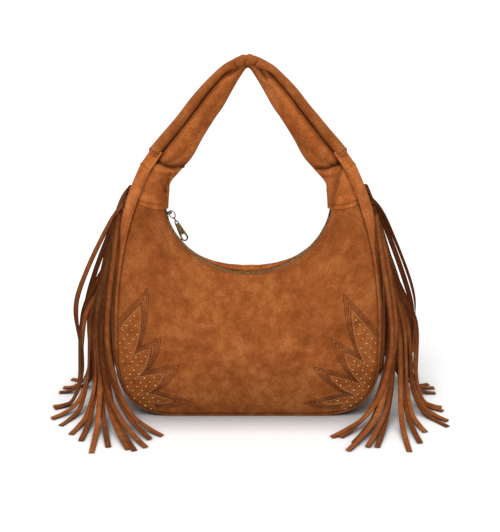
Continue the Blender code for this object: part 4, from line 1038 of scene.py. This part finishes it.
def seam_piece(name, lines, pitch, length, width, material, lift):
    """All the stitches of several seams as one piece: a capsule at each centre, laid along its
    direction on the surface and lifted off it."""
    found = [stitches_on(line, normals, pitch, length) for line, normals in lines]
    centre, along, out = (np.vstack(part) for part in zip(*found))
    centre = centre + out * lift
    across = np.cross(out, along)
    turn = np.linspace(0, 2 * math.pi, 5, endpoint=False)
    ahead = np.repeat(CAPSULE_RINGS[:, 0], 5)[:, None] * length
    aside = np.outer(CAPSULE_RINGS[:, 1], np.cos(turn)).reshape(-1, 1) / 2 * width
    up = np.outer(CAPSULE_RINGS[:, 1], np.sin(turn)).reshape(-1, 1) / 2 * width
    points = (centre[:, None, :] + along[:, None, :] * ahead + across[:, None, :] * aside
              + out[:, None, :] * up)
    one = quads(4, 5, wrap_cols=True).tolist() + [[0, 1, 2, 3, 4], [15, 16, 17, 18, 19]]
    return new_piece(name, points.reshape(-1, 3), copied(one, 20, len(centre)), material,
                     sharp=80)


def column_at(grid, distance, where):
    """The line on a grid at a given distance from its edge, and the normals there."""
    rows = np.arange(grid.shape[0])
    index = np.clip(np.argmax(distance > where, axis=1), 1, grid.shape[1] - 1)
    a, b = distance[rows, index - 1], distance[rows, index]
    share = np.clip((where - a) / np.maximum(b - a, 1e-9), 0, 1)[:, None]
    line = grid[rows, index - 1] * (1 - share) + grid[rows, index] * share
    return line, unit_normals(grid)[rows, index]


def outward(line, normals, centre=(0.0, 0.0, 0.12)):
    """The line, and its normals turned to point away from the bag's middle."""
    return line, normals * np.sign(np.sum(normals * (line - centre), axis=1))[:, None]


seam_piece("mouth_topstitch", facing_lines, STITCH_PITCH, STITCH_LENGTH, HEM_THREAD, dark_thread,
           THREAD_LIFT)
band_lines = [outward(*column_at(grid, from_edge(grid, 1), BAND_STITCH_IN))
              for grid in (band_grid, band_grid[:, ::-1])]
seam_piece("gusset_seam_stitch", band_lines, STITCH_PITCH, STITCH_LENGTH, SEAM_THREAD, dark_thread,
           0.0)
hem_lines = []
strap_out = unit_normals(strap_grid)
for way in (1, -1):
    foot, foot_out = strap_grid[::way], strap_out[::way]
    row = np.argmax(from_edge(foot[:30]) > HEM_WIDTH, axis=0)[:-6]
    column = np.arange(len(row))
    for flip in (1, -1):
        hem_lines.append(outward(foot[row, column] * (1, flip, 1),
                                 foot_out[row, column] * (1, flip, 1)))
for flip in (1, -1):
    for row in (ROLL_HEM_ROW, len(rings) - 1 - ROLL_HEM_ROW):
        line = rings[row, 2:19] * (1, flip, 1)
        hem_lines.append((line, unit(line - rings[row].mean(axis=0))))
    hem_lines.append(outward(joint_grid[JOINT_HEM_ROW] * (flip, 1, 1),
                             unit_normals(joint_grid)[JOINT_HEM_ROW] * (flip, 1, 1)))
seam_piece("strap_hem_stitch", hem_lines, STITCH_PITCH, STITCH_LENGTH, HEM_THREAD, dark_thread,
           THREAD_LIFT)

# ---- Stitched flames and studs -------------------------------------------------------------------
# The traditional western ornament in the front panel's lower corners: four rows of dark brown
# stitching follow a flame outline, a row of gold dots lies inside them, and small domed brass studs
# stand on a diagonal grid between the flame and the seam.

# The outline from the side seam round the tips and valleys, x and z in mm, and each span's bow.
FLAME_LEFT = (
    (-156.5, 121.5, 1.5), (-117.1, 167.3, 3.6), (-127.0, 96.9, 1.5), (-102.7, 107.5, 3.6),
    (-119.9, 65.3, 1.5), (-82.0, 72.2, 3.6), (-109.1, 37.4, 1.0), (-68.6, 22.0, 3.0),
    (-112.0, 13.0, 0.0),
)
FLAME_RIGHT = (
    (155.5, 110.6, -1.5), (112.0, 161.5, -3.6), (127.9, 88.5, -1.5), (98.2, 105.7, -3.6),
    (123.2, 56.6, -1.5), (77.7, 70.6, -3.6), (116.0, 33.3, -1.0), (66.9, 19.7, -3.0),
    (112.0, 12.0, 0.0),
)
FLAME_ROWS, DOT_ROW, STUD_ROW = (0.0, 2.0, 4.0, 6.0), 8.0, 9.6
DOT_PITCH, STUD_PITCH, STUD_TILT = 2.4, 8.1 * MM, math.radians(52)
ROW_ROOM, DOT_ROOM, STUD_ROOM = 2.4 * MM, 3.0 * MM, 4.0 * MM
FLAME_PITCH, FLAME_LENGTH, FLAME_THREAD = 2.3 * MM, 2.1 * MM, 0.64 * MM
DOT_RADIUS, DOT_HEIGHT = 0.55 * MM, 0.40 * MM
STUD_RADIUS, STUD_HEIGHT = 1.20 * MM, 1.0 * MM
gold_thread = thread_material("gold_thread", "#EBC08A", "#CF9A5E")
stud_brass = brass_material("brass_stud", "#E2C48C", "#B4935A", 0.30)


def flame_line(corners, inset):
    """The flame's outline drawn inwards by inset mm: corners move along their mitres, at most three
    times the inset, and each span bows as a parabola."""
    corner = np.array(corners)
    xz, bow = corner[:, :2], corner[:-1, 2]
    hand = -np.sign(xz[0, 0])
    run = unit(np.diff(xz, axis=0))
    left = np.stack([-run[:, 1], run[:, 0]], axis=1) * hand
    before = np.vstack([left[:1], left])
    mitre = unit(before + np.vstack([left, left[-1:]]))
    size = np.minimum(1 / np.maximum(np.sum(mitre * before, axis=1), 1e-3), 3.0)
    moved = xz - mitre * (size * inset)[:, None]
    t = np.linspace(0, 1, 24)[:, None]
    return [a + (b - a) * t + side * hand * rise * 4 * t * (1 - t)
            for a, b, side, rise in zip(moved, moved[1:], left, bow)]


FRONT_NORMALS = unit_normals(front_grid)
FRONT_NORMALS = FRONT_NORMALS * -np.sign(FRONT_NORMALS[..., 1].mean())
ROW_STEP, COL_STEP = np.gradient(front_grid, axis=0), np.gradient(front_grid, axis=1)


def on_panel(xz):
    """Points and normals of the front panel at (x, z) in metres: the nearest grid point, then one
    step of Newton's method in the grid's two directions."""
    flat = front_grid[..., [0, 2]].reshape(-1, 2)
    nearest = np.concatenate([
        np.argmin(((part[:, None, :] - flat[None]) ** 2).sum(-1), axis=1)
        for part in np.array_split(xz, max(len(xz) // 200, 1))])
    base = front_grid.reshape(-1, 3)[nearest]
    a, b = ROW_STEP.reshape(-1, 3)[nearest], COL_STEP.reshape(-1, 3)[nearest]
    gap = xz - base[:, [0, 2]]
    det = a[:, 0] * b[:, 2] - a[:, 2] * b[:, 0]
    s = (gap[:, 0] * b[:, 2] - gap[:, 1] * b[:, 0]) / det
    t = (gap[:, 1] * a[:, 0] - gap[:, 0] * a[:, 2]) / det
    return base + a * s[:, None] + b * t[:, None], FRONT_NORMALS.reshape(-1, 3)[nearest]


def inside(points, loop):
    """Whether each (x, z) is inside a closed loop, by counting the edges to its right."""
    x, z = points[:, :1], points[:, 1:]
    ax, az = loop.T[:, None]
    bx, bz = np.roll(loop, -1, axis=0).T[:, None]
    crosses = (az > z) != (bz > z)
    with np.errstate(divide="ignore", invalid="ignore"):
        at = ax + (z - az) * (bx - ax) / (bz - az)
    return (crosses & (x < at)).sum(axis=1) % 2 == 1


panel_edge = outline(400)[0]


def off_seam(xz, room):
    """The points (x, z) that are inside the panel by more than the given room."""
    gap = np.sqrt(((xz[:, None, :] - panel_edge[None]) ** 2).sum(-1)).min(axis=1)
    return xz[inside(xz, panel_edge) & (gap > room)]


flame_stitches, dots, studs = [], [], []
for corners in (FLAME_LEFT, FLAME_RIGHT):
    hand = np.sign(corners[0][0])
    for inset in FLAME_ROWS:
        spans = [off_seam(span * MM, ROW_ROOM) for span in flame_line(corners, inset)]
        flame_stitches += [on_panel(span) for span in spans if len(span) > 3]
    for span in flame_line(corners, DOT_ROW):
        count = max(int(np.linalg.norm(span[-1] - span[0]) / DOT_PITCH), 2)
        dots.append(off_seam(spaced(span * MM, count), DOT_ROOM))
    region = np.vstack(flame_line(corners, STUD_ROW)) * MM
    beyond = 0.19 * hand
    region = np.vstack([region, [(region[-1, 0], -0.02), (beyond, -0.02), (beyond, region[0, 1])]])
    i, j = np.meshgrid(np.arange(-40, 41), np.arange(-40, 41))
    tilt = -STUD_TILT * hand
    spot = np.stack([(i * math.cos(tilt) - j * math.sin(tilt)).ravel(),
                     (i * math.sin(tilt) + j * math.cos(tilt)).ravel()], axis=1) * STUD_PITCH
    spot = spot + (0.13 * hand, 0.06)
    spot = spot[(np.abs(spot[:, 0]) < 0.17) & (spot[:, 1] < 0.17) & (spot[:, 1] > 0)]
    studs.append(off_seam(spot[inside(spot, region)], STUD_ROOM))
seam_piece("flame_stitching", flame_stitches, FLAME_PITCH, FLAME_LENGTH, FLAME_THREAD, dark_thread,
           THREAD_LIFT)


def domes(name, xz, radius, height, material, around):
    """Low domes on the panel: three rings and a top point, each ring by the circle's own curve."""
    base, out = on_panel(xz)
    side = unit(np.cross(out, (0.0, 0.0, 1.0)))
    up = np.cross(side, out)
    turn = np.linspace(0, 2 * math.pi, around, endpoint=False)
    wide = np.array([1.0, 1.0, 0.72])[:, None]
    u = np.append(wide * np.cos(turn) * radius, 0)[:, None]
    v = np.append(wide * np.sin(turn) * radius, 0)[:, None]
    h = np.append(np.repeat([-0.6, 0.0, 0.6], around), 1)[:, None] * height
    points = (base[:, None, :] + side[:, None, :] * u + up[:, None, :] * v + out[:, None, :] * h)
    top = 3 * around
    one = quads(3, around, wrap_cols=True).tolist()
    one += [[2 * around + k, 2 * around + (k + 1) % around, top] for k in range(around)]
    one.append(list(range(around)))
    return new_piece(name, points.reshape(-1, 3), copied(one, top + 1, len(xz)), material,
                     sharp=80)


domes("flame_dots", np.vstack(dots), DOT_RADIUS, DOT_HEIGHT, gold_thread, 6)
domes("flame_studs", np.vstack(studs), STUD_RADIUS, STUD_HEIGHT, stud_brass, 10)
